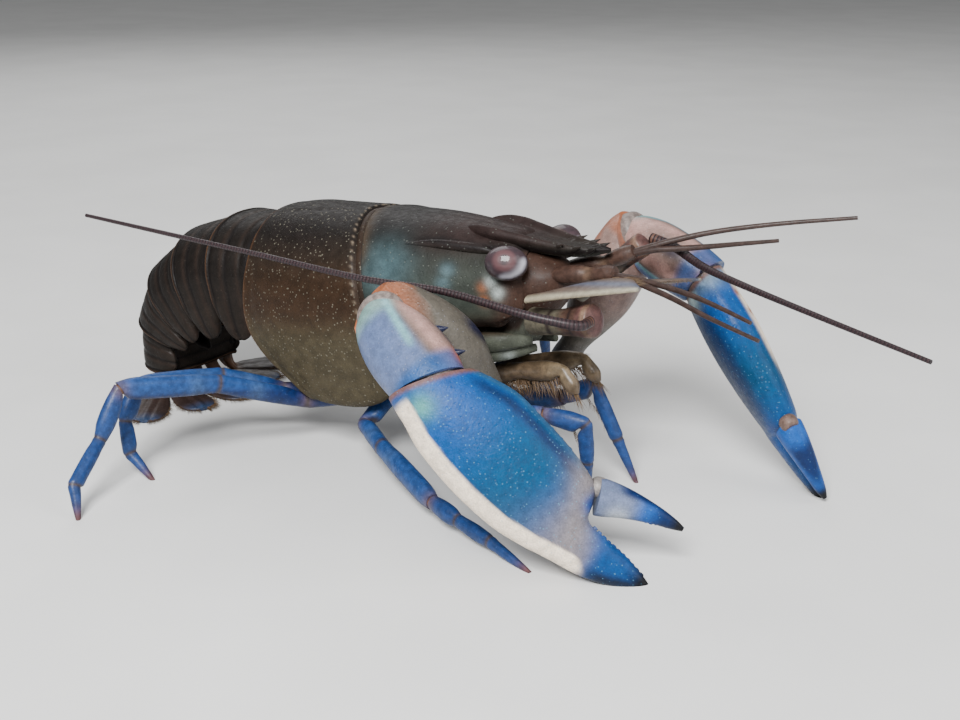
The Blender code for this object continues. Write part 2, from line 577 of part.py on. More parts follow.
class Claw:
    """Directions and joints of one great claw."""

    def __init__(self, side):
        self.side = side
        self.coxa, self.ischium, self.elbow, self.wrist, self.tip = [Vector(p) for p in ARMS[side]]
        self.axis = (self.tip - self.wrist).normalized()
        medial = CLAW_MEDIAL[side]
        self.medial = (medial - medial.dot(self.axis) * self.axis).normalized()
        self.normal = self.axis.cross(self.medial)
        self.elbow_normal = joint_normal(self.ischium, self.elbow, self.wrist)
        straight = joint_normal(self.elbow, self.wrist, self.tip)
        self.wrist_normal = (straight - self.medial * WRIST_TILT[side]).normalized()
        self.origin = self.wrist + self.wrist_normal * GAP / 2
        self.length = (self.tip - self.origin).length + 0.3
        self.carpus_heading = (self.wrist - self.elbow).normalized()
        self.carpus_start = self.elbow - self.carpus_heading * CARPUS_OVERRUN[0]
        self.carpus_stop = self.wrist + self.carpus_heading * CARPUS_OVERRUN[1]

    def point(self, along, across, deep=0.0):
        return self.origin + self.axis * along * self.length + self.medial * across + self.normal * deep

    def arm_rings(self):
        hip, out = hip_on_sternum(ARM_HIP_X, ARM_HIP_Y * SIDE_SIGN[self.side])
        end = self.elbow + (self.elbow - self.ischium).normalized() * ARM_OVERRUN
        bow = ARM_ACROSS[self.side].normalized() * ARM_BOW[self.side]
        merus = [self.ischium.lerp(end, t) + bow * math.sin(math.pi * t) for t, _ in ARM_SWELL]
        root = hip.lerp(self.coxa, 0.5) - UP * ARM_ROOT_SAG
        points = [hip, root, self.coxa, self.coxa.lerp(self.ischium, 0.5), self.ischium] + merus
        sides = ARM_ROOT_RADII + [radius for _, radius in ARM_SWELL]
        depths = [r * ARM_FLATNESS for r in sides]
        return path_rings(points, sides, depths, ARM_ACROSS[self.side], ARM_SIDES, out)

    def carpus_rings(self):
        inward = (self.medial - self.medial.dot(self.carpus_heading) * self.carpus_heading).normalized()
        points, sides, depths = [], [], []
        for t, medial_edge, lateral_edge, deep in CARPUS_STATIONS:
            centre = self.carpus_start.lerp(self.carpus_stop, t)
            points.append(centre + inward * 0.5 * (medial_edge - lateral_edge))
            sides.append(0.5 * (medial_edge + lateral_edge))
            depths.append(deep)
        return path_rings(points, sides, depths, inward, ARM_SIDES, self.carpus_heading, self.carpus_heading)

    def thorn_rings(self):
        """Spines on the inner edge of the wrist piece."""
        heading = (self.medial * 0.8 + self.carpus_heading * 0.6).normalized()
        thorns = []
        for t, out, reach in THORNS:
            root = self.carpus_start.lerp(self.carpus_stop, t) + self.medial * out
            thorns.append(spine_rings(root, root + heading * reach, THORN_RADIUS))
        return thorns

    def palm_rings(self):
        rings = []
        for along, medial_edge, lateral_edge, half_depth in PALM_STATIONS:
            middle = 0.5 * (medial_edge - lateral_edge)
            half = 0.5 * (medial_edge + lateral_edge)
            ring = []
            for i in range(PALM_SIDES):
                angle = math.tau * i / PALM_SIDES
                c, s = math.cos(angle), math.sin(angle)
                across = middle + half * math.copysign(abs(c) ** 0.9, c)
                ring.append(self.point(along, across, half_depth * s))
            rings.append(ring)
        return rings

    def finger_line(self):
        return self.point(*FINGER_ROOT), self.point(*FINGER_TIP[self.side])

    def finger_rings(self):
        """Moving finger, with a small bow so that its tip hooks in."""
        root, end = self.finger_line()
        heading = (end - root).normalized()
        outward = (self.medial - self.medial.dot(heading) * heading).normalized()
        bow = outward * FINGER_BOW
        points = [root.lerp(end, t) + bow * math.sin(math.pi * t) for t, _, _ in FINGER_RADII]
        halves = [half for _, half, _ in FINGER_RADII]
        return path_rings(points, halves, [deep for _, _, deep in FINGER_RADII], outward, FINGER_SIDES)

    def hinge(self):
        """Point and direction of the plane where the moving finger starts."""
        outer, inner = (self.point(*place) for place in SHOULDER)
        normal = (outer - inner).cross(self.normal).normalized()
        normal *= math.copysign(1, normal.dot(self.axis))
        return outer + normal * GAP * 1.5, normal


# Feelers and mouth
def tube_rings(path, first, last, count=6):
    steps = len(path) - 1
    radii = [first + (last - first) * i / steps for i in range(steps + 1)]
    return path_rings(path, radii, radii, Vector((0, 0.2, 1)), count)


def antenna_base_rings(side):
    joints = [Vector(p) for p in ANTENNA_BASE[side]]
    points, sides, _ = limb_profile(joints, ANTENNA_BASE_RADII[side], (0.85, 0.8, 0.8, 0.9))
    heading = (joints[-1] - joints[-2]).normalized()
    for reach, scale in KNOB_DOME:
        points.append(joints[-1] + heading * reach)
        sides.append(ANTENNA_BASE_RADII[side][-1] * scale)
    return path_rings(points, sides, sides, Vector((0, 1, 0.2)), 10)


def whip_paths(side):
    """The antenna's path in two lengths with a gap between, and the radius at each end and at the gap."""
    path = smooth_path(WHIPS[side], WHIP_STEPS)
    half = len(path) // 2
    step = (path[half + 1] - path[half - 1]).normalized() * GAP / 2
    return path[:half] + [path[half] - step], [path[half] + step] + path[half + 1:]


def scale_rings(side):
    """Flat antennal scale: a stout outer edge with a spine tip and a rounded inner blade."""
    start, end = [Vector(p) for p in SCALE_EDGE[side]]
    blade = Vector((0.1, -SIDE_SIGN[side] * 0.95, 0.22)).normalized()
    rings = []
    for t, inner, thick in SCALE_STATIONS:
        centre = start.lerp(end, t) + blade * inner * 0.5
        rings.append(oval(centre, Vector((1, 0, 0.24)), blade, inner * 0.5 + 0.5, thick, 10))
    return rings


def antennule_rings(side):
    """Rings of the antennule's stalk, then of its two whips."""
    joints = [Vector(p) for p in ANTENNULES[side]]
    points, sides, _ = limb_profile(joints, ANTENNULE_RADII, (0.8, 0.8, 0.8))
    pieces = [path_rings(points, sides, sides, ACROSS, 8)]
    for route in ANTENNULE_WHIPS[side]:
        path = smooth_path(route, 3)
        path[0] = joints[-2].lerp(joints[-1], 0.5)
        pieces.append(tube_rings(path, *ANTENNULE_WHIP_RADII))
    return pieces


def jaw_foot_rings(side):
    hip, out = hip_on_sternum(JAW_FOOT_X, JAW_FOOT_Y * SIDE_SIGN[side])
    joints = [hip] + [mirrored(p, side) for p in JAW_FOOT_POINTS]
    points, sides, depths = limb_profile(joints, JAW_FOOT_RADII, (0.9, 0.9, 0.85, 0.8, 0.4), 0.85)
    return path_rings(points, sides, depths, ACROSS, 8, out)


# Solids
MODEL = bpy.data.collections.new("blue_clawed_crayfish")
CUTTERS = bpy.data.collections.new("cutters")
SHARP_ANGLE = math.radians(40)


def clear_scene():
    for old in list(bpy.data.objects):
        bpy.data.objects.remove(old, do_unlink=True)
    bpy.context.scene.collection.children.link(MODEL)
    bpy.context.scene.collection.children.link(CUTTERS)


def shell_material(name, colour, roughness=0.38):
    material = bpy.data.materials.new(name)
    material.use_nodes = True
    shader = material.node_tree.nodes["Principled BSDF"]
    shader.inputs["Base Color"].default_value = (*colour, 1)
    shader.inputs["Roughness"].default_value = roughness
    return material


def make_solid(name, rings, material):
    """A closed solid lofted through rings of points, with a fan over each end."""
    count = len(rings[0])
    root = sum(rings[0], Vector()) / count
    bm = bmesh.new()
    rows = [[bm.verts.new((p - root) * MM) for p in ring] for ring in rings]
    for low, high in zip(rows, rows[1:]):
        for i in range(count):
            j = (i + 1) % count
            bm.faces.new((low[i], low[j], high[j], high[i]))
    for row, ring in ((rows[0], rings[0]), (rows[-1], rings[-1])):
        middle = bm.verts.new((sum(ring, Vector()) / count - root) * MM)
        for i in range(count):
            bm.faces.new((row[i], row[(i + 1) % count], middle))
    bmesh.ops.recalc_face_normals(bm, faces=bm.faces)
    mesh = bpy.data.meshes.new(name)
    bm.to_mesh(mesh)
    bm.free()
    mesh.materials.append(material)
    thing = bpy.data.objects.new(name, mesh)
    thing.location = (root - FOOTPRINT_CENTRE) * MM
    MODEL.objects.link(thing)
    bpy.context.view_layer.update()
    return thing


def apply_modifiers(thing):
    graph = bpy.context.evaluated_depsgraph_get()
    mesh = bpy.data.meshes.new_from_object(thing.evaluated_get(graph))
    thing.modifiers.clear()
    thing.data = mesh
    keep_largest(thing)


def keep_largest(thing):
    """Keep only the largest closed surface of a mesh."""
    bm = bmesh.new()
    bm.from_mesh(thing.data)
    unseen = set(bm.verts)
    islands = []
    while unseen:
        island = {unseen.pop()}
        front = list(island)
        while front:
            near = {e.other_vert(v) for v in front for e in v.link_edges} & unseen
            unseen -= near
            island |= near
            front = list(near)
        islands.append(island)
    islands.sort(key=len)
    loose = [v for island in islands[:-1] for v in island]
    bmesh.ops.delete(bm, geom=loose, context="VERTS")
    bm.to_mesh(thing.data)
    bm.free()


def fuse(thing, pieces, solver="MANIFOLD"):
    """Join the pieces to the thing as one closed body."""
    group = bpy.data.collections.new("pieces_of_" + thing.name)
    bpy.context.scene.collection.children.link(group)
    for piece in pieces:
        MODEL.objects.unlink(piece)
        group.objects.link(piece)
    join = thing.modifiers.new("join", "BOOLEAN")
    join.operation = "UNION"
    join.operand_type = "COLLECTION"
    join.collection = group
    join.solver = solver
    apply_modifiers(thing)
    for piece in pieces:
        bpy.data.objects.remove(piece, do_unlink=True)
    bpy.data.collections.remove(group)


def subtract_ball(thing, centre, radius):
    bpy.ops.mesh.primitive_uv_sphere_add(segments=16, ring_count=10, radius=radius * MM,
                                         location=(centre - FOOTPRINT_CENTRE) * MM)
    cutter = bpy.context.object
    cutter.hide_render = True
    cutter.display_type = "WIRE"
    for owner in list(cutter.users_collection):
        owner.objects.unlink(cutter)
    CUTTERS.objects.link(cutter)
    bpy.context.view_layer.update()
    cut = thing.modifiers.new("cut", "BOOLEAN")
    cut.operation = "DIFFERENCE"
    cut.object = cutter
    cut.solver = "MANIFOLD"
    apply_modifiers(thing)


def trim(thing, point, outward):
    """Cut away what lies past a plane and close the cut with a flat."""
    bm = bmesh.new()
    bm.from_mesh(thing.data)
    local = (point - FOOTPRINT_CENTRE) * MM - thing.location
    everything = bm.verts[:] + bm.edges[:] + bm.faces[:]
    cut = bmesh.ops.bisect_plane(bm, geom=everything, plane_co=local, plane_no=outward, clear_outer=True)
    edges = [e for e in cut["geom_cut"] if isinstance(e, bmesh.types.BMEdge)]
    bmesh.ops.edgenet_fill(bm, edges=edges)
    bmesh.ops.recalc_face_normals(bm, faces=bm.faces)
    bm.to_mesh(thing.data)
    bm.free()


def flatten_on_floor(thing):
    """Leave a small flat where the thing stands on the floor."""
    trim(thing, Vector((0, 0, 0)), -UP)


def make_head(material):
    head = make_solid("head", head_rings(), material)
    pieces = [make_solid("rostrum", rostrum_rings(), material)]
    for side in SIDE_SIGN:
        details = head_detail_rings(side) + mouth_plate_rings(side)
        pieces += [make_solid("detail", rings, material) for rings in details]
    fuse(head, pieces)
    for side in SIDE_SIGN:
        subtract_ball(head, eye_centre(side), ORBIT_RADIUS)


def make_claw(side, arm_material, palm_material, finger_material):
    claw = Claw(side)
    arm = make_solid("claw_arm_" + side, claw.arm_rings(), arm_material)
    trim(arm, claw.elbow - claw.elbow_normal * GAP / 2, claw.elbow_normal)
    carpus = make_solid("claw_wrist_" + side, claw.carpus_rings(), arm_material)
    fuse(carpus, [make_solid("thorn", rings, arm_material) for rings in claw.thorn_rings()], "EXACT")
    trim(carpus, claw.elbow + claw.elbow_normal * GAP / 2, -claw.elbow_normal)
    trim(carpus, claw.wrist - claw.wrist_normal * GAP / 2, claw.wrist_normal)
    palm = make_solid("claw_palm_" + side, claw.palm_rings(), palm_material)
    trim(palm, claw.origin, -claw.wrist_normal)
    flatten_on_floor(palm)
    finger = make_solid("claw_finger_" + side, claw.finger_rings(), finger_material)
    point, normal = claw.hinge()
    trim(finger, point, -normal)
    flatten_on_floor(finger)


def make_feelers(side, feeler, cream):
    make_solid("antenna_base_" + side, antenna_base_rings(side), feeler)
    inner, outer = whip_paths(side)
    first, last = WHIP_RADII
    middle = 0.5 * (first + last)
    make_solid("antenna_whip_1_" + side, tube_rings(inner, first, middle), feeler)
    make_solid("antenna_whip_2_" + side, tube_rings(outer, middle, last), feeler)
    make_solid("antenna_scale_" + side, scale_rings(side), cream)
    stalk, *whips = antennule_rings(side)
    antennule = make_solid("antennule_" + side, stalk, feeler)
    fuse(antennule, [make_solid("whip", rings, feeler) for rings in whips], "EXACT")


def main():
    clear_scene()
    back = shell_material("back_brown", (0.13, 0.065, 0.035))
    head_grey = shell_material("head_grey", (0.14, 0.12, 0.09))
    tail_brown = shell_material("tail_brown", (0.075, 0.04, 0.025))
    leg_blue = shell_material("leg_blue", (0.03, 0.09, 0.28))
    leg_tip = shell_material("leg_tip", (0.05, 0.11, 0.3))
    palm_blue = shell_material("palm_blue", (0.03, 0.2, 0.45), 0.3)
    finger_blue = shell_material("finger_blue", (0.02, 0.1, 0.4), 0.3)
    arm_lilac = shell_material("arm_lilac", (0.22, 0.28, 0.42), 0.35)
    feeler = shell_material("feeler_brown", (0.11, 0.05, 0.04))
    cream = shell_material("scale_cream", (0.45, 0.33, 0.22))
    eye = shell_material("eye_dark", (0.05, 0.02, 0.03), 0.12)

    make_solid("thorax", thorax_rings(), back)
    make_head(head_grey)
    for i, rings in enumerate(abdomen_rings()):
        somite = make_solid("abdomen_%d" % (i + 1), rings, tail_brown)
        if 1 <= i <= 4:
            fuse(somite, [make_solid("paddle", swimmeret_rings(i, side), tail_brown) for side in SIDE_SIGN])
    for name in FAN_BLADES:
        flatten_on_floor(make_solid(name, fan_rings(name), tail_brown))
    for side in SIDE_SIGN:
        make_solid("eye_" + side, eye_rings(side), eye)
        make_feelers(side, feeler, cream)
        make_solid("jaw_foot_" + side, jaw_foot_rings(side), cream)
        make_claw(side, arm_lilac, palm_blue, finger_blue)
    for name in LEGS:
        upper, lower = leg_rings(name)
        make_solid(name + "_upper", upper, leg_blue)
        flatten_on_floor(make_solid(name + "_lower", lower, leg_tip))

    root = bpy.data.objects.new("crayfish_root", None)
    MODEL.objects.link(root)
    for thing in MODEL.objects:
        if thing.type == "MESH":
            thing.parent = root
            thing.data.shade_smooth()
            thing.data.set_sharp_from_angle(angle=SHARP_ANGLE)


main()
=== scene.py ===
"""The looks of a blue-clawed freshwater crayfish: finer shells in place of the plain ones, with finishes.

Lengths are in millimetres until a mesh is made. The animal heads along +X, its left side is +Y, +Z is up.
Points on the body are given in the carapace's own frame: x forward from the hind edge of the carapace,
y to the left, z up from the axis. Points on the limbs are given above the floor, with the same x and y.
"""
import math
import random

import bmesh
import bpy
import numpy as np
from mathutils import Matrix, Vector


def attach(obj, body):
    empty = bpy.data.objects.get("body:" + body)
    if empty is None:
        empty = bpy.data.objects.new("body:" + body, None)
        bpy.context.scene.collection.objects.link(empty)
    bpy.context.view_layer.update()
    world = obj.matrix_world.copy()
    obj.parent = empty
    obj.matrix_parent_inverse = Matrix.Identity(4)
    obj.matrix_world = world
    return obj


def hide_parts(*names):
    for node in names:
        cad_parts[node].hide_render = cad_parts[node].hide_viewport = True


MM = 0.001
GAP = 0.3
PITCH = math.radians(9)
BODY_PIVOT = Vector((28, 0, 0))
PIVOT_HEIGHT = 26
FOOTPRINT_CENTRE = Vector((33.8, -2.5, 0))
SIDE_SIGN = {"right": -1, "left": 1}
ACROSS = Vector((0, 1, 0))
UP = Vector((0, 0, 1))

# Carapace, from its hind edge to the rostrum's tip
CARAPACE_TOP = [(-4, 13.0), (4, 13.6), (12, 12.9), (20, 12.1), (30, 11.0), (38, 9.4), (45, 7.5)]
CARAPACE_HALF_WIDTH = [(-4, 11.6), (4, 13.2), (12, 13.8), (20, 13.4), (28, 12.0), (36, 9.6), (45, 6.6)]
CARAPACE_BOTTOM = [(-4, -11.0), (4, -13.6), (12, -15.2), (20, -15.0), (25, -12.0), (29, -7.6), (33, -4.4),
                   (38, -3.8), (45, -4.4)]
WIDEST_LEVEL = -2.0
MARGIN_ANGLE = 146
MARGIN_TUCK = 0.17
STERNUM_LEVEL = [(4, -12.6), (20, -12.6), (24, -12.6), (28, -12.4), (36, -9.4), (45, -7.0)]
STERNUM_GROOVE = 0.4
LIP_WIDTH = 1.4
UNDERSIDE_INSET = [(20, 2.8), (30, 2.8), (36, 3.4), (45, 3.0)]
SECTION_STEPS = 12
HIND_EDGE = [(0, 0.0), (50, -1.2), (90, -2.6), (115, -1.0), (132, 3.0), (146, 7.5), (180, 5.0)]
GROOVE_EDGE = [(0, 17.0), (45, 20.5), (85, 22.5), (115, 25.0), (146, 29.0), (180, 29.0)]
HEAD_FRONT = [(0, 44.5), (95, 44.5), (125, 42.4), (146, 42.0), (180, 42.0)]
THORAX_STATIONS = 10
HEAD_STATIONS = 8
EDGE_ROUND = 0.7
BODY_WALL_X = 2.0
BODY_WALL_SCALE = 0.84

ROSTRUM_ROOT = 33.0
ROSTRUM_TIP = 56.0
ROSTRUM_STATIONS = 10
ROSTRUM_HALF_WIDTH = [(33, 4.2), (36, 5.2), (42, 4.3), (48, 3.1), (52, 2.3), (54.5, 1.2), (56, 0.25)]
ROSTRUM_HEIGHT = [(33, 8.4), (36, 9.9), (42, 8.6), (48, 6.9), (52, 6.0), (56, 5.4)]
ROSTRUM_DEPTH = [(36, 4.0), (44, 2.8), (52, 1.6), (56, 0.5)]
ROSTRUM_SPINES = [49.5, 51.8, 53.8]
ROSTRUM_SPINE_RADIUS = 0.55
SPINE_SIDES = 6
ORBIT_RIDGE = [(28, 3.3), (32, 3.2), (36, 3.2), (39.6, 3.2), (41.2, 3.3)]
ORBIT_RIDGE_RADII = [0.15, 0.6, 0.75, 0.65, 0.12]
MOUTH_PLATES = [
    ([(31, 7.4, -6.9), (36, 7.4, -6.2), (41, 6.2, -6.2), (44.2, 3.8, -6.6)], 1.35),
    ([(31, 6.6, -9.2), (36, 6.4, -8.3), (41, 5.0, -7.9), (44, 2.6, -7.9)], 1.25),
]
MOUTH_PLATE_SWELL = (0.5, 1.0, 0.95, 0.45)
MOUTH_PLATE_FLATNESS = 0.7

EYE_CENTRE = (44.0, 7.3, 5.1)
EYE_RADIUS = 2.75
EYE_TALL = 0.86
EYE_LONG = 1.08
EYE_STALK_DIRECTION = (-0.45, -0.8, -0.35)
EYE_STALK_REACH = 2.9
EYE_STALK_RADII = (1.5, 1.65)

# Tail: each somite's length and how far it points below level, then the fan on the floor
TAIL_ROOT = (1.4, 0, 2.2)
SOMITE_LENGTHS = [4.2, 7.6, 7.6, 7.0, 6.6, 6.6]
SOMITE_SLOPES = [3, 10, 22, 42, 68, 104]
SOMITE_HALF_WIDTHS = [9.0, 11.2, 11.4, 10.8, 9.8, 8.2]
SOMITE_HEIGHTS = [8.9, 10.0, 9.8, 9.0, 8.0, 6.6]
PLEURON_LENGTHS = [3.0, 9.0, 8.3, 7.6, 6.8, 4.0]
SOMITE_SWELL = [(0.94, 0.35), (0.955, 0.62), (0.975, 0.95), (1.0, 1.0), (1.015, 0.78), (1.0, 0.36)]
SOMITE_BELLY = 3.2
SWIMMERET_Y = 4.2
SWIMMERET_STATIONS = [(-2.4, 0.8), (-3.6, 0.9), (-5.2, 1.35), (-7.0, 1.2), (-8.2, 0.4)]
SWIMMERET_FLATNESS = 0.4
TAIL_END_HEIGHT = 3.9
FAN_THICKNESS = 1.2
FAN_FLAT = 0.15
FAN_BLADES = {
    "telson": (0, 0, 12.5, 3.8, 0),
    "uropod_inner_right": (-1, 4.4, 11.0, 3.0, 22),
    "uropod_inner_left": (1, 4.4, 11.0, 3.0, 22),
    "uropod_outer_right": (-1, 8.0, 11.5, 3.1, 54),
    "uropod_outer_left": (1, 8.0, 11.5, 3.1, 54),
}

# Walking legs: the ends of coxa, ischium, merus, carpus, propodus and dactyl
LEGS = {
    "leg_2_right": [(29.5, -8.4, 9.0), (37, -7.2, 8.6), (48, -5, 12), (54, -4, 11.6),
                    (54, -3.2, 5.8), (53, -1, 0)],
    "leg_2_left": [(29.5, 8.4, 9.0), (35.5, 7.2, 8.2), (45, 5, 11), (50.3, 4.8, 14),
                   (54, 5.4, 6.3), (57, 6, 0)],
    "leg_3_right": [(19.4, -9.6, 5.8), (26.4, -14.2, 5.2), (40.6, -21.3, 3), (46, -23, 2.4),
                    (52, -24.4, 1.6), (59, -26, 0)],
    "leg_3_left": [(21.5, 9.4, 5.8), (22, 18.5, 9.5), (23, 31, 15.5), (22.5, 35.5, 10),
                   (21, 39, 4), (20, 41, 0)],
    "leg_4_right": [(8.5, -10, 7.4), (2.5, -22.5, 12.5), (-3, -36.2, 14.6), (-3.5, -40, 8.2),
                    (-1.6, -46.6, 4), (0.3, -48, 0)],
    "leg_4_left": [(13.5, 9.6, 5.4), (11.5, 18, 9.5), (9, 32, 14.5), (8, 36.5, 9),
                   (7, 41, 3.8), (6.5, 43, 0)],
    "leg_5_right": [(3, -9, 7.6), (-2.5, -17, 11), (-6.5, -30, 12.5), (-6.4, -32.8, 8), (-5.2, -33.4, 3.4),
                    (-1.4, -33, 0)],
    "leg_5_left": [(5.5, 9.8, 6.6), (2, 16, 9.5), (-4, 28, 13.5), (-6, 32.5, 8.5), (-8.5, 35.5, 3.6),
                   (-10, 37.5, 0)],
}
HIP_X = {"2": 25.0, "3": 19.0, "4": 13.5, "5": 8.6}
HIP_Y = 5.2
ROOT_DROP = 2.2
RING_CLEARANCE = 0.7
LEG_RADII = {"coxa": 1.5, "ischium": 1.45, "merus": 1.65, "carpus": 1.35, "propodus": 1.1}
LEG_FLATNESS = 0.8
JOINT_WAIST = 0.74
FOOT_RADII = [(0.35, 0.72), (0.75, 0.5), (1.0, 0.3)]
FOOT_SINK = 0.25
LEG_SIDES = 8

# Great claws: coxa's end, ischium's end, elbow, wrist and the fixed finger's tip on the floor
ARMS = {
    "right": [(40, -11.4, 11.2), (43.4, -12.8, 16.2), (35.3, -24.7, 29.2), (46.5, -28.5, 23.6),
              (72.9, -19.8, 0)],
    "left": [(39, 11.4, 11.2), (42, 13.5, 17), (48.6, 18.2, 33.5), (61.5, 15.6, 28.9), (81.3, 16, 0)],
}
ARM_HIP_X = 32.0
ARM_HIP_Y = 5.9
ARM_ROOT_RADII = [1.9, 2.1, 2.3, 2.6, 2.7]
ARM_ROOT_SAG = 1.6
ARM_SWELL = [(0.15, 4.2), (0.36, 5.9), (0.58, 6.2), (0.78, 5.7), (0.92, 5.0), (1.0, 4.0)]
ARM_BOW = {"right": 0.7, "left": -0.7}
ARM_FLATNESS = 0.8
ARM_ACROSS = {"right": Vector((0.36, 0.56, 0.75)), "left": Vector((0.3, -0.95, 0))}
ARM_SIDES = 12
CLAW_MEDIAL = {"right": Vector((0.35, 0.67, 0.66)), "left": Vector((0.53, -0.78, 0.35))}
PALM_STATIONS = [
    (-0.13, 2.6, 4.6, 2.7), (-0.05, 3.2, 5.7, 3.0), (0.02, 4.0, 6.4, 3.2), (0.10, 5.0, 7.4, 3.5),
    (0.22, 6.1, 8.1, 3.7), (0.34, 6.0, 8.4, 3.6), (0.48, 5.6, 8.2, 3.2), (0.60, 4.7, 7.3, 2.7),
    (0.635, 4.2, 6.9, 2.5), (0.665, 2.6, 6.6, 2.35), (0.695, 0.5, 6.3, 2.2), (0.78, 0.3, 5.5, 1.8),
    (0.87, 0.4, 4.2, 1.4), (0.95, 0.1, 2.4, 0.9), (1.00, -0.3, 1.0, 0.4),
]
PALM_SIDES = 14
SHOULDER = [(0.635, 4.2), (0.695, 0.5)]
ARM_OVERRUN = 1.6
CARPUS_OVERRUN = (1.4, 3.0)
WRIST_TILT = {"right": 0.42, "left": 0.0}
FINGER_ROOT = (0.63, 2.7)
FINGER_TIP = {"right": (0.954, 7.7), "left": (0.985, 1.6)}
FINGER_RADII = [(0.0, 2.3, 2.0), (0.15, 2.4, 2.0), (0.4, 1.9, 1.65), (0.7, 1.2, 1.1), (0.9, 0.7, 0.7),
                (1.0, 0.3, 0.3)]
FINGER_BOW = 0.6
FINGER_SIDES = 10
CARPUS_STATIONS = [(0.0, 2.4, 2.4, 2.3), (0.13, 3.4, 4.2, 3.5), (0.35, 4.3, 5.4, 4.2), (0.6, 4.7, 5.6, 4.2),
                   (0.8, 4.3, 5.1, 3.9), (1.0, 3.2, 3.6, 3.2)]
THORNS = [(0.5, 3.6, 2.4), (0.74, 3.2, 2.6)]
THORN_RADIUS = 0.85

# Feelers and mouth: points above the floor
ANTENNA_BASE = {
    "right": [(46.6, -5.6, 25.6), (50.5, -6.6, 26.4), (54, -7.0, 27.2), (56.6, -7.2, 27.8)],
    "left": [(46.6, 5.6, 27.4), (50.2, 6.0, 30.2), (53.6, 6.3, 33.0), (56.2, 6.6, 35.2)],
}
ANTENNA_BASE_RADII = {"right": [2.3, 2.2, 2.5], "left": [2.3, 2.2, 1.9]}
KNOB_DOME = [(0.4, 0.7), (0.65, 0.4)]
WHIPS = {
    "right": [(57.4, -9.3, 28.4), (57.1, -11.7, 28.4), (54.2, -13.6, 29.0), (50, -15.0, 29.7),
              (39, -16.3, 31.1), (27, -18.8, 31.6), (10.5, -20.4, 32.7), (-7.7, -21.8, 33.7),
              (-24, -22, 34.2)],
    "left": [(57.4, 6.8, 36.2), (61.2, 6.4, 35.5), (66.5, 3.8, 34.3), (73, 0.8, 33.7), (85.6, -4, 32.7),
             (101, -9.3, 31.4)],
}
WHIP_RADII = (0.74, 0.28)
ANTENNULES = {
    "right": [(47.6, -1.9, 31.4), (53, -2.0, 32.4), (57, -2.4, 33.2)],
    "left": [(47.6, 1.9, 31.6), (53, 2.0, 33.2), (57, 2.6, 35.2)],
}
ANTENNULE_RADII = [1.3, 1.15]
ANTENNULE_WHIPS = {
    "right": [[(57, -2.4, 33.2), (65.6, -4, 31.9), (72, -6, 30.8), (80, -8, 29.6)],
              [(57, -2.4, 33.2), (66, -3, 32.6), (72, -4.4, 32), (78, -6, 31)]],
    "left": [[(57, 2.6, 35.2), (65.3, 6, 38), (74, 9, 39.9), (84, 12, 41.5)],
             [(57, 2.6, 35.2), (65, 4.6, 36.4), (71, 5.4, 37.6), (76, 6, 38.6)]],
}
ANTENNULE_WHIP_RADII = (0.46, 0.25)
SCALE_EDGE = {
    "right": [(47.5, -9.4, 29.6), (63.5, -8.4, 33.4)],
    "left": [(47.2, 10.4, 27.1), (63.8, 9.2, 30.8)],
}
SCALE_STATIONS = [(0, 1.0, 0.7), (0.12, 1.4, 0.75), (0.35, 3.4, 0.7), (0.6, 4.4, 0.6), (0.82, 3.4, 0.5),
                  (0.94, 1.4, 0.4), (1, 0.3, 0.25)]
JAW_FOOT_X = 31.0
JAW_FOOT_Y = 1.8
JAW_FOOT_POINTS = [(34, 1.8, 13.6), (42, 2.4, 16.6), (49.5, 2.9, 18.2), (52, 3.0, 15.4)]
JAW_FOOT_RADII = [1.15, 1.4, 1.4, 1.1]


# Curves and frames
def at(pairs, x):
    """Value at x of the smooth curve through (x, value) pairs."""
    if x <= pairs[0][0]:
        return pairs[0][1]
    for i in range(len(pairs) - 1):
        x0, y0 = pairs[i]
        x1, y1 = pairs[i + 1]
        if x <= x1:
            before = pairs[max(i - 1, 0)]
            after = pairs[min(i + 2, len(pairs) - 1)]
            slope0 = (y1 - before[1]) / (x1 - before[0])
            slope1 = (after[1] - y0) / (after[0] - x0)
            t = (x - x0) / (x1 - x0)
            run = x1 - x0
            rise0 = slope0 * run * (t - 2 * t * t + t ** 3)
            rise1 = slope1 * run * (t ** 3 - t * t)
            return y0 + (y1 - y0) * (3 * t * t - 2 * t ** 3) + rise0 + rise1
    return pairs[-1][1]


def between(a, b, c, d, t):
    """Point at t between b and c on the smooth curve through four points."""
    square = 2 * a - 5 * b + 4 * c - d
    cube = 3 * b - a - 3 * c + d
    return 0.5 * (2 * b + (c - a) * t + square * t ** 2 + cube * t ** 3)


def smooth_path(points, steps):
    """Points of a smooth curve through the given ones."""
    knots = [Vector(p) for p in points]
    ends = [knots[0] * 2 - knots[1]] + knots + [knots[-1] * 2 - knots[-2]]
    path = []
    for i in range(1, len(ends) - 2):
        for k in range(steps):
            path.append(between(*ends[i - 1:i + 3], k / steps))
    return path + [knots[-1]]


def body(x, y, z):
    """A point of the tilted body, above the floor."""
    turned = Matrix.Rotation(-PITCH, 3, "Y") @ (Vector((x, y, z)) - BODY_PIVOT)
    return turned + Vector((BODY_PIVOT.x, 0, PIVOT_HEIGHT))


def body_direction(x, y, z):
    return (Matrix.Rotation(-PITCH, 3, "Y") @ Vector((x, y, z))).normalized()


def mirrored(vector, side):
    return Vector((vector[0], vector[1] * SIDE_SIGN[side], vector[2]))


# Rings
def oval(centre, normal, side, half_side, half_depth, count):
    """Ring round a centre, square to the normal, with its first point towards side."""
    normal = normal.normalized()
    across = (side - side.dot(normal) * normal).normalized()
    deep = normal.cross(across)
    ring = []
    for i in range(count):
        angle = math.tau * i / count
        ring.append(centre + across * half_side * math.cos(angle) + deep * half_depth * math.sin(angle))
    return ring


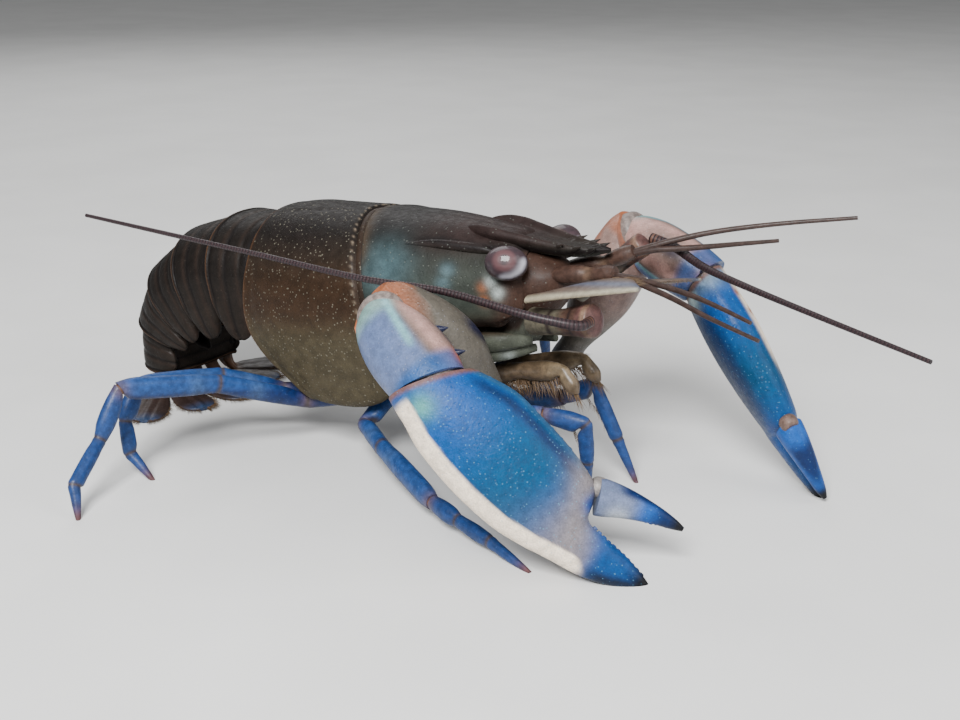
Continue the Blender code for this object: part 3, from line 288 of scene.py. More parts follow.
def path_rings(points, half_sides, half_depths, side, count, start_normal=None, end_normal=None):
    """Rings along a path, square to it at the ends unless a normal is given."""
    rings = []
    last = len(points) - 1
    for i, point in enumerate(points):
        normal = Vector()
        if i < last:
            normal += (points[i + 1] - point).normalized()
        if i > 0:
            normal += (point - points[i - 1]).normalized()
        if i == 0 and start_normal is not None:
            normal = start_normal
        if i == last and end_normal is not None:
            normal = end_normal
        rings.append(oval(point, normal, side, half_sides[i], half_depths[i], count))
    return rings


def joint_normal(before, joint, after):
    return ((joint - before).normalized() + (after - joint).normalized()).normalized()


def spine_rings(root, tip, radius):
    side = ACROSS if abs((tip - root).normalized().y) < 0.8 else Vector((1, 0, 0))
    rings = []
    for t, scale in ((0, 1), (0.45, 0.72), (1, 0.08)):
        rings.append(oval(root.lerp(tip, t), tip - root, side, radius * scale, radius * scale, SPINE_SIDES))
    return rings


# Carapace
def section_point(x, step):
    """Point of the carapace's outer section: step 0 is the top, SECTION_STEPS the lower margin."""
    degrees = MARGIN_ANGLE * step / SECTION_STEPS
    wide = at(CARAPACE_HALF_WIDTH, x)
    if degrees <= 90:
        angle = math.radians(degrees)
        y = wide * math.sin(angle) ** 0.85
        z = WIDEST_LEVEL + (at(CARAPACE_TOP, x) - WIDEST_LEVEL) * max(math.cos(angle), 0) ** 0.95
    else:
        down = (degrees - 90) / (MARGIN_ANGLE - 90)
        y = wide * (1 - MARGIN_TUCK * down ** 2)
        z = WIDEST_LEVEL + (at(CARAPACE_BOTTOM, x) - WIDEST_LEVEL) * down
    return Vector((x, y, z))


def carapace_ring(edge_x, inset=0.0):
    """Closed ring: over the back, round both margins and across the underside."""
    half = []
    for step in range(SECTION_STEPS + 1):
        half.append(section_point(edge_x(MARGIN_ANGLE * step / SECTION_STEPS), step))
    margin = half[-1]
    under_x = edge_x(180)
    inner_x = 0.5 * (margin.x + under_x)
    half.append(Vector((margin.x, margin.y - LIP_WIDTH, margin.z + 0.2)))
    half.append(Vector((inner_x, margin.y - at(UNDERSIDE_INSET, inner_x), at(STERNUM_LEVEL, inner_x))))
    sternum = Vector((under_x, 0, at(STERNUM_LEVEL, under_x) + STERNUM_GROOVE))
    ring = half + [sternum] + [Vector((p.x, -p.y, p.z)) for p in half[:0:-1]]
    middle = sum(ring, Vector()) / len(ring)
    drawn = []
    for p in ring:
        out = Vector((0, p.y - middle.y, p.z - middle.z))
        drawn.append(body(*(p - out.normalized() * inset)))
    return drawn


def edge_between(rear, front, t, shift=0.0):
    """How far forward a ring lies at each angle round the body, at t from the rear edge to the front one."""
    return lambda degrees: at(rear, degrees) * (1 - t) + at(front, degrees) * t + shift


def thorax_rings():
    centre = body(BODY_WALL_X, 0, 0)
    back = body_direction(1, 0, 0)
    wall = []
    for p in carapace_ring(edge_between(HIND_EDGE, HIND_EDGE, 0)):
        shrunk = centre + (p - centre) * BODY_WALL_SCALE
        wall.append(shrunk + back * (centre - shrunk).dot(back))
    rings = [wall, carapace_ring(edge_between(HIND_EDGE, GROOVE_EDGE, 0), EDGE_ROUND)]
    for i in range(THORAX_STATIONS):
        t = 0.02 + 0.93 * i / (THORAX_STATIONS - 1)
        rings.append(carapace_ring(edge_between(HIND_EDGE, GROOVE_EDGE, t)))
    rings.append(carapace_ring(edge_between(HIND_EDGE, GROOVE_EDGE, 1, -GAP / 2), EDGE_ROUND))
    return rings


def head_rings():
    rings = [carapace_ring(edge_between(GROOVE_EDGE, HEAD_FRONT, 0, GAP / 2), EDGE_ROUND)]
    for i in range(HEAD_STATIONS):
        t = 0.04 + 0.9 * i / (HEAD_STATIONS - 1)
        rings.append(carapace_ring(edge_between(GROOVE_EDGE, HEAD_FRONT, t)))
    rings.append(carapace_ring(edge_between(GROOVE_EDGE, HEAD_FRONT, 1), 1.2))
    return rings


def rostrum_ring(x):
    wide = at(ROSTRUM_HALF_WIDTH, x)
    top = at(ROSTRUM_HEIGHT, x)
    deep = at(ROSTRUM_DEPTH, x)
    half = [(0, top - 0.18 * deep), (0.62 * wide, top - 0.16 * deep), (0.86 * wide, top + 0.12 * deep),
            (wide, top - 0.2 * deep), (0.62 * wide, top - 0.8 * deep), (0, top - deep)]
    return [body(x, y, z) for y, z in half] + [body(x, -y, z) for y, z in half[-2:0:-1]]


def rostrum_rings():
    step = (ROSTRUM_TIP - ROSTRUM_ROOT) / ROSTRUM_STATIONS
    return [rostrum_ring(ROSTRUM_ROOT + step * i) for i in range(ROSTRUM_STATIONS + 1)]


def head_detail_rings(side):
    """Rings of the spines on one edge of the rostrum, then of the ridge behind the orbit."""
    sign = SIDE_SIGN[side]
    details = []
    for x in ROSTRUM_SPINES:
        y = sign * at(ROSTRUM_HALF_WIDTH, x)
        z = at(ROSTRUM_HEIGHT, x) - 0.1
        details.append(spine_rings(body(x - 1.0, 0.7 * y, z - 0.4), body(x + 1.3, 1.12 * y, z + 0.3),
                                   ROSTRUM_SPINE_RADIUS))
    ridge = [body(p.x, sign * p.y, p.z) for p in (section_point(x, step) for x, step in ORBIT_RIDGE)]
    details.append(path_rings(ridge, ORBIT_RIDGE_RADII, ORBIT_RIDGE_RADII, ACROSS, 6))
    return details


def mouth_plate_rings(side):
    """Two curved plates on each side of the mouth, below the head's margin."""
    plates = []
    for route, radius in MOUTH_PLATES:
        path = [body(x, SIDE_SIGN[side] * y, z) for x, y, z in route]
        sizes = [radius * k for k in MOUTH_PLATE_SWELL]
        plates.append(path_rings(path, [r * MOUTH_PLATE_FLATNESS for r in sizes], sizes, ACROSS, 8))
    return plates


def eye_centre(side):
    return body(EYE_CENTRE[0], EYE_CENTRE[1] * SIDE_SIGN[side], EYE_CENTRE[2])


def eye_inward(side):
    x, y, z = EYE_STALK_DIRECTION
    return body_direction(x, y * SIDE_SIGN[side], z)


def eye_rings(side, sides, steps):
    """A short stalk and a globe, turned about the stalk's axis."""
    profile = [(-EYE_STALK_REACH, EYE_STALK_RADII[0]), (-0.82 * EYE_RADIUS, EYE_STALK_RADII[1])]
    for i in range(steps + 1):
        angle = math.radians(-48 + 122.5 * i / steps)
        profile.append((EYE_RADIUS * math.sin(angle), EYE_RADIUS * math.cos(angle)))
    inward = eye_inward(side)
    return [oval(eye_centre(side) - inward * along, inward, UP, r * EYE_TALL, r * EYE_LONG, sides)
            for along, r in profile]


# Tail
def tail_line(scale):
    """Hinge line of the somites, with slopes scaled: each hinge, each slope and the end."""
    point = body(*TAIL_ROOT)
    points, slopes = [point], []
    for length, slope in zip(SOMITE_LENGTHS, SOMITE_SLOPES):
        angle = math.radians(slope * scale)
        point = point + Vector((-math.cos(angle), 0, -math.sin(angle))) * length
        points.append(point)
        slopes.append(angle)
    return points, slopes


def curled_tail():
    """The hinge line whose slopes bring the end of the tail down to its height."""
    low, high = 0.6, 1.4
    for _ in range(40):
        scale = 0.5 * (low + high)
        if tail_line(scale)[0][-1].z > TAIL_END_HEIGHT:
            low = scale
        else:
            high = scale
    return tail_line(0.5 * (low + high))


def somite_ring(centre, slope, wide, high, pleuron):
    """Domed back, a hanging pleuron on each side and a hollow underside, square to the tail's line."""
    up = Vector((-math.sin(slope), 0, math.cos(slope)))
    half = []
    for i in range(8):
        angle = math.radians(96 * i / 7)
        half.append((wide * math.sin(angle) ** 0.9, high * max(math.cos(angle), 0) ** 0.9 - 0.5 * (i == 7)))
    half.append((wide * 0.98, -0.55 * pleuron))
    half.append((wide * 0.90, -pleuron))
    half.append((wide * 0.82, -0.95 * pleuron))
    half.append((wide * 0.78, -min(3.0, 0.9 * pleuron)))
    ring = half + [(0, -SOMITE_BELLY)] + [(-y, z) for y, z in half[:0:-1]]
    return [centre + Vector((0, y, 0)) + up * z for y, z in ring]


def abdomen_rings():
    """Rings of each of the six somites."""
    points, slopes = curled_tail()
    slopes_at = [PITCH] + [0.5 * (a + b) for a, b in zip(slopes, slopes[1:])] + [slopes[-1]]
    somites = []
    for i in range(6):
        near = (max(i - 1, 0), min(i + 1, 5))
        wides = [0.5 * (SOMITE_HALF_WIDTHS[i] + SOMITE_HALF_WIDTHS[k]) for k in near]
        highs = [0.5 * (SOMITE_HEIGHTS[i] + SOMITE_HEIGHTS[k]) for k in near]
        margin = 0.5 * GAP / SOMITE_LENGTHS[i]
        rings = []
        for t, (swell, lobe) in zip((margin, 0.10, 0.3, 0.62, 0.88, 1 - margin), SOMITE_SWELL):
            slope = slopes_at[i] * (1 - t) + slopes_at[i + 1] * t
            wide = (wides[0] * (1 - t) + wides[1] * t) * swell
            high = (highs[0] * (1 - t) + highs[1] * t) * swell
            pleuron = max(SOMITE_BELLY, PLEURON_LENGTHS[i] * lobe)
            rings.append(somite_ring(points[i].lerp(points[i + 1], t), slope, wide, high, pleuron))
        somites.append(rings)
    return somites


def swimmeret_rings(somite, side):
    """A small flat paddle below the middle of a somite, counted from 0."""
    points, slopes = curled_tail()
    middle = points[somite].lerp(points[somite + 1], 0.5)
    up = Vector((-math.sin(slopes[somite]), 0, math.cos(slopes[somite])))
    path = [middle + mirrored((0, SWIMMERET_Y, 0), side) + up * depth for depth, _ in SWIMMERET_STATIONS]
    wides = [wide for _, wide in SWIMMERET_STATIONS]
    return path_rings(path, wides, [w * SWIMMERET_FLATNESS for w in wides], ACROSS, 8)


def fan_heading(name):
    sign, _, _, _, degrees = FAN_BLADES[name]
    spread = math.radians(degrees)
    return Vector((math.cos(spread), sign * math.sin(spread), 0))


def fan_start(name):
    """Root of a blade below the last somite, and where it comes down flat."""
    points, slopes = curled_tail()
    out = Vector((-math.cos(slopes[-1]), 0, -math.sin(slopes[-1])))
    sign, offset, _, _, _ = FAN_BLADES[name]
    root = points[-1] + out * GAP + Vector((0, sign * offset, 0))
    bend = root + out * 1.3
    flat = Vector((bend.x, bend.y, 0.5 * FAN_THICKNESS - FAN_FLAT)) + fan_heading(name) * 1.4
    return root, bend, flat


def fan_rings(name):
    """Telson and uropods leave the last somite and lie forward on the floor."""
    _, _, length, wide, _ = FAN_BLADES[name]
    heading = fan_heading(name)
    side = Vector((-heading.y, heading.x, 0))
    root, bend, flat = fan_start(name)
    path = [root, bend] + [flat + heading * length * t for t in (0, 0.15, 0.35, 0.6, 0.8, 0.93, 1)]
    sides = [wide * k for k in (0.45, 0.5, 0.62, 0.74, 0.9, 1.0, 0.94, 0.7, 0.25)]
    depths = [1.2, 1.1] + [0.5 * FAN_THICKNESS] * 5 + [0.45, 0.3]
    return path_rings(path, sides, depths, side, 10)


# Limbs
def hip_on_sternum(x, y):
    """Where a limb leaves the underside, a gap below it, and the direction straight out."""
    slope = at(STERNUM_LEVEL, x + 1) - at(STERNUM_LEVEL, x - 1)
    out = Vector((slope, 0, -2)).normalized()
    point = Vector((x, y, at(STERNUM_LEVEL, x))) + out * GAP
    return body(*point), body_direction(*out)


def limb_profile(joints, radii, waists, flatness=1.0):
    """Path points and half sizes for segments that swell between narrow joints."""
    points, sides, depths = [], [], []
    for i, (a, b) in enumerate(zip(joints, joints[1:])):
        stations = ((0.0, waists[i]), (0.3, 0.97), (0.72, 1.0), (0.9, 0.94))
        if (b - a).length <= ROOT_DROP:
            stations = stations[:1]
        for t, scale in stations:
            if t > 0 and min(t, 1 - t) * (b - a).length < RING_CLEARANCE * radii[i]:
                continue
            points.append(a.lerp(b, t))
            sides.append(radii[i] * scale * flatness)
            depths.append(radii[i] * scale)
    points.append(joints[-1])
    sides.append(radii[-1] * waists[-1] * flatness)
    depths.append(radii[-1] * waists[-1])
    return points, sides, depths


def leg_joints(name):
    """Hip, the hip's direction, and the joints after it down to the foot."""
    side = name.split("_")[2]
    hip, out = hip_on_sternum(HIP_X[name.split("_")[1]], HIP_Y * SIDE_SIGN[side])
    return hip, out, [Vector(p) for p in LEGS[name]]


def leg_rings(name):
    """Rings of the leg above its knee and below it."""
    hip, out, (coxa, ischium, knee, wrist, ankle, tip) = leg_joints(name)
    across = (tip - hip).cross(UP).normalized()
    bend = joint_normal(ischium, knee, wrist)
    radii = [LEG_RADII[n] for n in ("coxa", "coxa", "ischium", "merus")]
    joints = [hip, hip + out * ROOT_DROP, coxa, ischium, knee - bend * GAP / 2]
    points, sides, depths = limb_profile(joints, radii, (1, 1, 0.8, 0.8, JOINT_WAIST), LEG_FLATNESS)
    upper = path_rings(points, sides, depths, across, LEG_SIDES, out, bend)
    radii = [LEG_RADII[n] for n in ("carpus", "propodus")]
    joints = [knee + bend * GAP / 2, wrist, ankle]
    points, sides, depths = limb_profile(joints, radii, (0.8, 0.8, 0.75), LEG_FLATNESS)
    foot = tip + (tip - ankle).normalized() * FOOT_SINK
    for t, radius in FOOT_RADII:
        points.append(ankle.lerp(foot, t))
        sides.append(radius * 0.9)
        depths.append(radius)
    return upper, path_rings(points, sides, depths, across, LEG_SIDES, bend)


class Claw:
    """Directions and joints of one great claw."""

    def __init__(self, side):
        self.side = side
        self.coxa, self.ischium, self.elbow, self.wrist, self.tip = [Vector(p) for p in ARMS[side]]
        self.axis = (self.tip - self.wrist).normalized()
        medial = CLAW_MEDIAL[side]
        self.medial = (medial - medial.dot(self.axis) * self.axis).normalized()
        self.normal = self.axis.cross(self.medial)
        self.elbow_normal = joint_normal(self.ischium, self.elbow, self.wrist)
        straight = joint_normal(self.elbow, self.wrist, self.tip)
        self.wrist_normal = (straight - self.medial * WRIST_TILT[side]).normalized()
        self.origin = self.wrist + self.wrist_normal * GAP / 2
        self.length = (self.tip - self.origin).length + 0.3
        self.carpus_heading = (self.wrist - self.elbow).normalized()
        self.carpus_start = self.elbow - self.carpus_heading * CARPUS_OVERRUN[0]
        self.carpus_stop = self.wrist + self.carpus_heading * CARPUS_OVERRUN[1]

    def point(self, along, across, deep=0.0):
        return self.origin + self.axis * along * self.length + self.medial * across + self.normal * deep

    def arm_rings(self):
        hip, out = hip_on_sternum(ARM_HIP_X, ARM_HIP_Y * SIDE_SIGN[self.side])
        end = self.elbow + (self.elbow - self.ischium).normalized() * ARM_OVERRUN
        bow = ARM_ACROSS[self.side].normalized() * ARM_BOW[self.side]
        merus = [self.ischium.lerp(end, t) + bow * math.sin(math.pi * t) for t, _ in ARM_SWELL]
        root = hip.lerp(self.coxa, 0.5) - UP * ARM_ROOT_SAG
        points = [hip, root, self.coxa, self.coxa.lerp(self.ischium, 0.5), self.ischium] + merus
        sides = ARM_ROOT_RADII + [radius for _, radius in ARM_SWELL]
        depths = [r * ARM_FLATNESS for r in sides]
        return path_rings(points, sides, depths, ARM_ACROSS[self.side], ARM_SIDES, out)

    def carpus_rings(self):
        inward = (self.medial - self.medial.dot(self.carpus_heading) * self.carpus_heading).normalized()
        points, sides, depths = [], [], []
        for t, medial_edge, lateral_edge, deep in CARPUS_STATIONS:
            centre = self.carpus_start.lerp(self.carpus_stop, t)
            points.append(centre + inward * 0.5 * (medial_edge - lateral_edge))
            sides.append(0.5 * (medial_edge + lateral_edge))
            depths.append(deep)
        return path_rings(points, sides, depths, inward, ARM_SIDES, self.carpus_heading, self.carpus_heading)

    def thorn_rings(self):
        """Spines on the inner edge of the wrist piece."""
        heading = (self.medial * 0.8 + self.carpus_heading * 0.6).normalized()
        thorns = []
        for t, out, reach in THORNS:
            root = self.carpus_start.lerp(self.carpus_stop, t) + self.medial * out
            thorns.append(spine_rings(root, root + heading * reach, THORN_RADIUS))
        return thorns

    def palm_rings(self):
        rings = []
        for along, medial_edge, lateral_edge, half_depth in PALM_STATIONS:
            middle = 0.5 * (medial_edge - lateral_edge)
            half = 0.5 * (medial_edge + lateral_edge)
            ring = []
            for i in range(PALM_SIDES):
                angle = math.tau * i / PALM_SIDES
                c, s = math.cos(angle), math.sin(angle)
                across = middle + half * math.copysign(abs(c) ** 0.9, c)
                ring.append(self.point(along, across, half_depth * s))
            rings.append(ring)
        return rings

    def finger_line(self):
        return self.point(*FINGER_ROOT), self.point(*FINGER_TIP[self.side])

    def finger_rings(self):
        """Moving finger, with a small bow so that its tip hooks in."""
        root, end = self.finger_line()
        heading = (end - root).normalized()
        outward = (self.medial - self.medial.dot(heading) * heading).normalized()
        bow = outward * FINGER_BOW
        points = [root.lerp(end, t) + bow * math.sin(math.pi * t) for t, _, _ in FINGER_RADII]
        halves = [half for _, half, _ in FINGER_RADII]
        return path_rings(points, halves, [deep for _, _, deep in FINGER_RADII], outward, FINGER_SIDES)

    def hinge(self):
        """Point and direction of the plane where the moving finger starts."""
        outer, inner = (self.point(*place) for place in SHOULDER)
        normal = (outer - inner).cross(self.normal).normalized()
        normal *= math.copysign(1, normal.dot(self.axis))
        return outer + normal * GAP * 1.5, normal


# Feelers and mouth
def tube_rings(path, first, last, count=6):
    steps = len(path) - 1
    radii = [first + (last - first) * i / steps for i in range(steps + 1)]
    return path_rings(path, radii, radii, Vector((0, 0.2, 1)), count)


def antenna_base_rings(side):
    joints = [Vector(p) for p in ANTENNA_BASE[side]]
    points, sides, _ = limb_profile(joints, ANTENNA_BASE_RADII[side], (0.85, 0.8, 0.8, 0.9))
    heading = (joints[-1] - joints[-2]).normalized()
    for reach, scale in KNOB_DOME:
        points.append(joints[-1] + heading * reach)
        sides.append(ANTENNA_BASE_RADII[side][-1] * scale)
    return path_rings(points, sides, sides, Vector((0, 1, 0.2)), 10)


def scale_rings(side):
    """Flat antennal scale: a stout outer edge with a spine tip and a rounded inner blade."""
    start, end = [Vector(p) for p in SCALE_EDGE[side]]
    blade = Vector((0.1, -SIDE_SIGN[side] * 0.95, 0.22)).normalized()
    rings = []
    for t, inner, thick in SCALE_STATIONS:
        centre = start.lerp(end, t) + blade * inner * 0.5
        rings.append(oval(centre, Vector((1, 0, 0.24)), blade, inner * 0.5 + 0.5, thick, 10))
    return rings


def antennule_rings(side):
    """Rings of the antennule's stalk, then of its two whips."""
    joints = [Vector(p) for p in ANTENNULES[side]]
    points, sides, _ = limb_profile(joints, ANTENNULE_RADII, (0.8, 0.8, 0.8))
    pieces = [path_rings(points, sides, sides, ACROSS, 8)]
    for route in ANTENNULE_WHIPS[side]:
        path = smooth_path(route, 3)
        path[0] = joints[-2].lerp(joints[-1], 0.5)
        pieces.append(tube_rings(path, *ANTENNULE_WHIP_RADII))
    return pieces


def jaw_foot_rings(side):
    hip, out = hip_on_sternum(JAW_FOOT_X, JAW_FOOT_Y * SIDE_SIGN[side])
    joints = [hip] + [mirrored(p, side) for p in JAW_FOOT_POINTS]
    points, sides, depths = limb_profile(joints, JAW_FOOT_RADII, (0.9, 0.9, 0.85, 0.8, 0.4), 0.85)
    return path_rings(points, sides, depths, ACROSS, 8, out)


# Finer shells
SHARP_ANGLE = math.radians(50)
TO_BODY = Matrix.Rotation(PITCH, 3, "Y")
JOINED = 100
SHADE = 0.76
SEED = 11
DICE = random.Random(SEED)
RANDOM = np.random.default_rng(SEED)

# In the body's frame: skin in the neck seam as (shift, inset), shadow below the beak, skin behind the face
SEAM_SKIN = [(-2.4, 1.5), (-0.8, 0.6), (0, 0.3), (0.8, 0.6), (2.4, 1.5)]
KEEL_SHADOW = [(28, 8.9), (33, 8.4), (36, 7.6), (42, 6.6), (50, 5.4)]
FACE_SKIN = [(41.5, 5.6, 1.0, 5.6), (44.6, 5.2, 1.0, 5.0), (46.4, 4.4, 0.8, 4.2), (48.2, 3.2, 1.2, 2.8),
             (49.4, 1.4, 1.6, 1.3)]

# The beak's root is narrowed and sunk over its first rings, and the feeler scales are thinned
BEAK_ROOT_RINGS = 3.6
BEAK_ROOT_NARROWING = 0.42
BEAK_ROOT_DROP = 0.8
SCALE_INNER = [(t, inner) for t, inner, _ in SCALE_STATIONS]
SCALE_THINNING = 0.35
TAIL_SKIN_SCALE = 0.91
SEAM_DOTS = 68
WHIP_RING_PITCH = 0.52
WHIP_STEPS = 40
EYE_FINENESS = (56, 28)

# Skin in a joint and a blunt tooth: share of the reach, share of the radius
JOINT_SKIN = [(-1, 0.75), (-0.6, 0.95), (0, 1.0), (0.6, 0.95), (1, 0.75)]
TOOTH = [(0, 1.0), (0.6, 0.8), (1, 0.35)]
TOOTH_ROOT = 0.3

# Hairs: how many, how long and how thick
FAN_HAIRS = (170, 1.5, 0.035)
BRISTLES = (26, 0.8, 0.03)
THIGH_FRINGE = 90
SHIN_FRINGE = 70
FRINGE_SIZE = (1.3, 0.035)
SCALE_FRINGE = (170, 1.6, 0.03)
BEARD = (260, 3.0, 0.06)
LASHES = (50, 1.4, 0.035)


def curve(a, b, c, d, t):
    """Point at t between b and c, on a curve that never overshoots its own step."""
    run = np.linalg.norm(c - b, axis=-1, keepdims=True)
    leave = (c - a) * run / np.maximum(np.linalg.norm(c - a, axis=-1, keepdims=True), 1e-9)
    arrive = (d - b) * run / np.maximum(np.linalg.norm(d - b, axis=-1, keepdims=True), 1e-9)
    return (b * (1 - 3 * t * t + 2 * t ** 3) + c * (3 * t * t - 2 * t ** 3)
            + leave * (t - 2 * t * t + t ** 3) + arrive * (t ** 3 - t * t))


def refine(rings, along, around):
    """Grid of points on the smooth surface through the rings, with more rings and more points on each."""
    grid = np.array([[tuple(p) for p in ring] for ring in rings])
    a, c, d = np.roll(grid, 1, 1), np.roll(grid, -1, 1), np.roll(grid, -2, 1)
    grid = np.stack([curve(a, grid, c, d, k / around) for k in range(around)], axis=2)
    grid = grid.reshape(len(rings), -1, 3)
    ends = np.concatenate([2 * grid[:1] - grid[1:2], grid, 2 * grid[-1:] - grid[-2:-1]])
    a, b, c, d = ends[:-3], ends[1:-2], ends[2:-1], ends[3:]
    fine = np.stack([curve(a, b, c, d, k / along) for k in range(along)], axis=1)
    return np.concatenate([fine.reshape(-1, grid.shape[1], 3), grid[-1:]])


class Shell:
    """A closed surface in millimetres: its points, where each lies in the rings, and its faces."""

    def __init__(self, rings, along=6, around=4):
        grid = refine(rings, along, around)
        rows, count = grid.shape[:2]
        self.points = np.concatenate([grid.reshape(-1, 3), grid[0].mean(0)[None], grid[-1].mean(0)[None]])
        ring = np.repeat(np.arange(rows) / along, count)
        turn = np.tile(np.arange(count) / count, rows)
        self.ring = np.append(ring, [0, len(rings) - 1])
        self.turn = np.append(turn, [0, 0])
        index = np.arange(rows * count).reshape(rows, count)
        after = np.roll(index, -1, 1)
        self.quads = np.stack([index[:-1], after[:-1], after[1:], index[1:]], axis=-1).reshape(-1, 4)
        first = np.stack([index[0], np.full(count, rows * count), after[0]], axis=-1)
        last = np.stack([index[-1], after[-1], np.full(count, rows * count + 1)], axis=-1)
        self.caps = np.concatenate([first, last])
        if self.volume() < 0:
            self.quads = self.quads[:, ::-1]
            self.caps = self.caps[:, ::-1]

    def triangles(self):
        return np.concatenate([self.quads[:, [0, 1, 2]], self.quads[:, [0, 2, 3]], self.caps])

    def volume(self):
        a, b, c = (self.points[self.triangles()[:, k]] for k in range(3))
        return np.einsum("ij,ij->", a - self.points[0], np.cross(b - self.points[0], c - self.points[0]))

    def normals(self):
        faces = self.triangles()
        a, b, c = (self.points[faces[:, k]] for k in range(3))
        out = np.zeros_like(self.points)
        for k in range(3):
            np.add.at(out, faces[:, k], np.cross(b - a, c - a))
        return out / np.maximum(np.linalg.norm(out, axis=1, keepdims=True), 1e-12)

    def push(self, amount):
        """Move each point out along its normal by its own amount."""
        self.points = self.points + self.normals() * np.asarray(amount)[:, None]

    def join(self, other):
        """Add another surface, with ring numbers past JOINED, so that no mask by ring reaches it."""
        start = len(self.points)
        self.points = np.concatenate([self.points, other.points])
        self.ring = np.concatenate([self.ring, other.ring + JOINED])
        self.turn = np.concatenate([self.turn, other.turn])
        self.quads = np.concatenate([self.quads, other.quads + start])
        self.caps = np.concatenate([self.caps, other.caps + start])

    def mesh(self, name):
        mesh = bpy.data.meshes.new(name)
        places = (self.points - np.array(FOOTPRINT_CENTRE)) * MM
        mesh.from_pydata(places.tolist(), [], self.quads.tolist() + self.caps.tolist())
        for label, values in (("ring", self.ring), ("turn", self.turn)):
            mesh.attributes.new(label, "FLOAT", "POINT").data.foreach_set("value", values.astype(np.float32))
        return mesh


def values_of(mesh, label):
    values = np.zeros(len(mesh.vertices), np.float32)
    mesh.attributes[label].data.foreach_get("value", values)
    return values


def points_of(mesh):
    """The mesh's points in millimetres, in the frame of the shapes above."""
    places = np.zeros(len(mesh.vertices) * 3)
    mesh.vertices.foreach_get("co", places)
    return places.reshape(-1, 3) / MM + np.array(FOOTPRINT_CENTRE)


def in_body(points):
    """The same points in the carapace's own frame."""
    level = points - np.array((BODY_PIVOT.x, 0, PIVOT_HEIGHT))
    return level @ np.array(TO_BODY.transposed()) + np.array(BODY_PIVOT)


def cut_off(mesh, point, outward):
    """Cut away what lies past a plane and close the cut."""
    bm = bmesh.new()
    bm.from_mesh(mesh)
    everything = bm.verts[:] + bm.edges[:] + bm.faces[:]
    place = (point - FOOTPRINT_CENTRE) * MM
    cut = bmesh.ops.bisect_plane(bm, geom=everything, plane_co=place, plane_no=outward, clear_outer=True)
    edges = [e for e in cut["geom_cut"] if isinstance(e, bmesh.types.BMEdge)]
    bmesh.ops.edgenet_fill(bm, edges=edges)
    bm.to_mesh(mesh)
    bm.free()


def cut_at_floor(mesh):
    cut_off(mesh, Vector((0, 0, 0)), -UP)


def piece(name, mesh, finish, nodes=(), masks=None):
    """Show the mesh as a piece of the model, in place of the CAD nodes named."""
    points = points_of(mesh)
    for label, mask in (masks or {}).items():
        values = mask(points, values_of(mesh, "ring"), values_of(mesh, "turn")) + np.zeros(len(points))
        mesh.attributes.new(label, "FLOAT", "POINT").data.foreach_set("value", values.astype(np.float32))
    mesh.materials.clear()
    mesh.materials.append(finish)
    mesh.shade_smooth()
    mesh.set_sharp_from_angle(angle=SHARP_ANGLE)
    thing = bpy.data.objects.new(name, mesh)
    bpy.context.scene.collection.objects.link(thing)
    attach(thing, "root")
    if nodes:
        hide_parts(*nodes)


# Masks: 0 to 1 over a piece
def near(place, radius):
    """1 at a place and fading out round it."""
    centre = np.array(tuple(place))
    return lambda p, ring, turn: np.exp(-((p - centre) ** 2).sum(1) / radius ** 2)


def near_any(places, radius):
    return lambda p, ring, turn: np.max([near(place, radius)(p, ring, turn) for place in places], axis=0)


def near_line(start, end, radius):
    """1 along the line between two places and fading out round it."""
    a, b = np.array(tuple(start)), np.array(tuple(end))

    def mask(p, ring, turn):
        t = np.clip((p - a) @ (b - a) / ((b - a) @ (b - a)), 0, 1)
        return np.exp(-((p - a - t[:, None] * (b - a)) ** 2).sum(1) / radius ** 2)
    return mask


def rounded(rings, reach=0.35):
    """The rings with small ones added past both ends, so that the ends are round."""
    ends = []
    for ring, inner in ((rings[0], rings[1]), (rings[-1], rings[-2])):
        middle = sum(ring, Vector()) / len(ring)
        out = (middle - sum(inner, Vector()) / len(inner)).normalized()
        size = (ring[0] - middle).length
        ends.append([[middle + (p - middle) * k + out * size * reach * rise for p in ring]
                     for k, rise in ((0.75, 0.6), (0.35, 1.0))])
    return ends[0][::-1] + rings + ends[1]


def joint_line(before, joint, after, half):
    """1 on a thin line round a limb where two lengths of it meet."""
    centre, heading = np.array(tuple(joint)), np.array(tuple(joint_normal(before, joint, after)))
    return lambda p, ring, turn: (band((p - centre) @ heading, 0, half)
                                  * ramp(np.linalg.norm(p - centre, axis=1), 4.5, 3.5))


def greatest(*masks):
    return lambda p, ring, turn: np.max([mask(p, ring, turn) for mask in masks], axis=0)


def steady(amount):
    return lambda p, ring, turn: amount + 0 * ring


def ramp(values, low, high):
    """0 at low and 1 at high, with soft ends."""
    t = np.clip((values - low) / (high - low), 0, 1)
    return t * t * (3 - 2 * t)


def band(values, centre, half):
    return np.exp(-((values - centre) / half) ** 2)


# Finishes
def tone(red, green, blue):
    """Surface colour that shows about these screen values, from 0 to 255, under the studio light."""
    return tuple(((SHADE * c / 255 + 0.055) / 1.055) ** 2.4 for c in (red, green, blue))


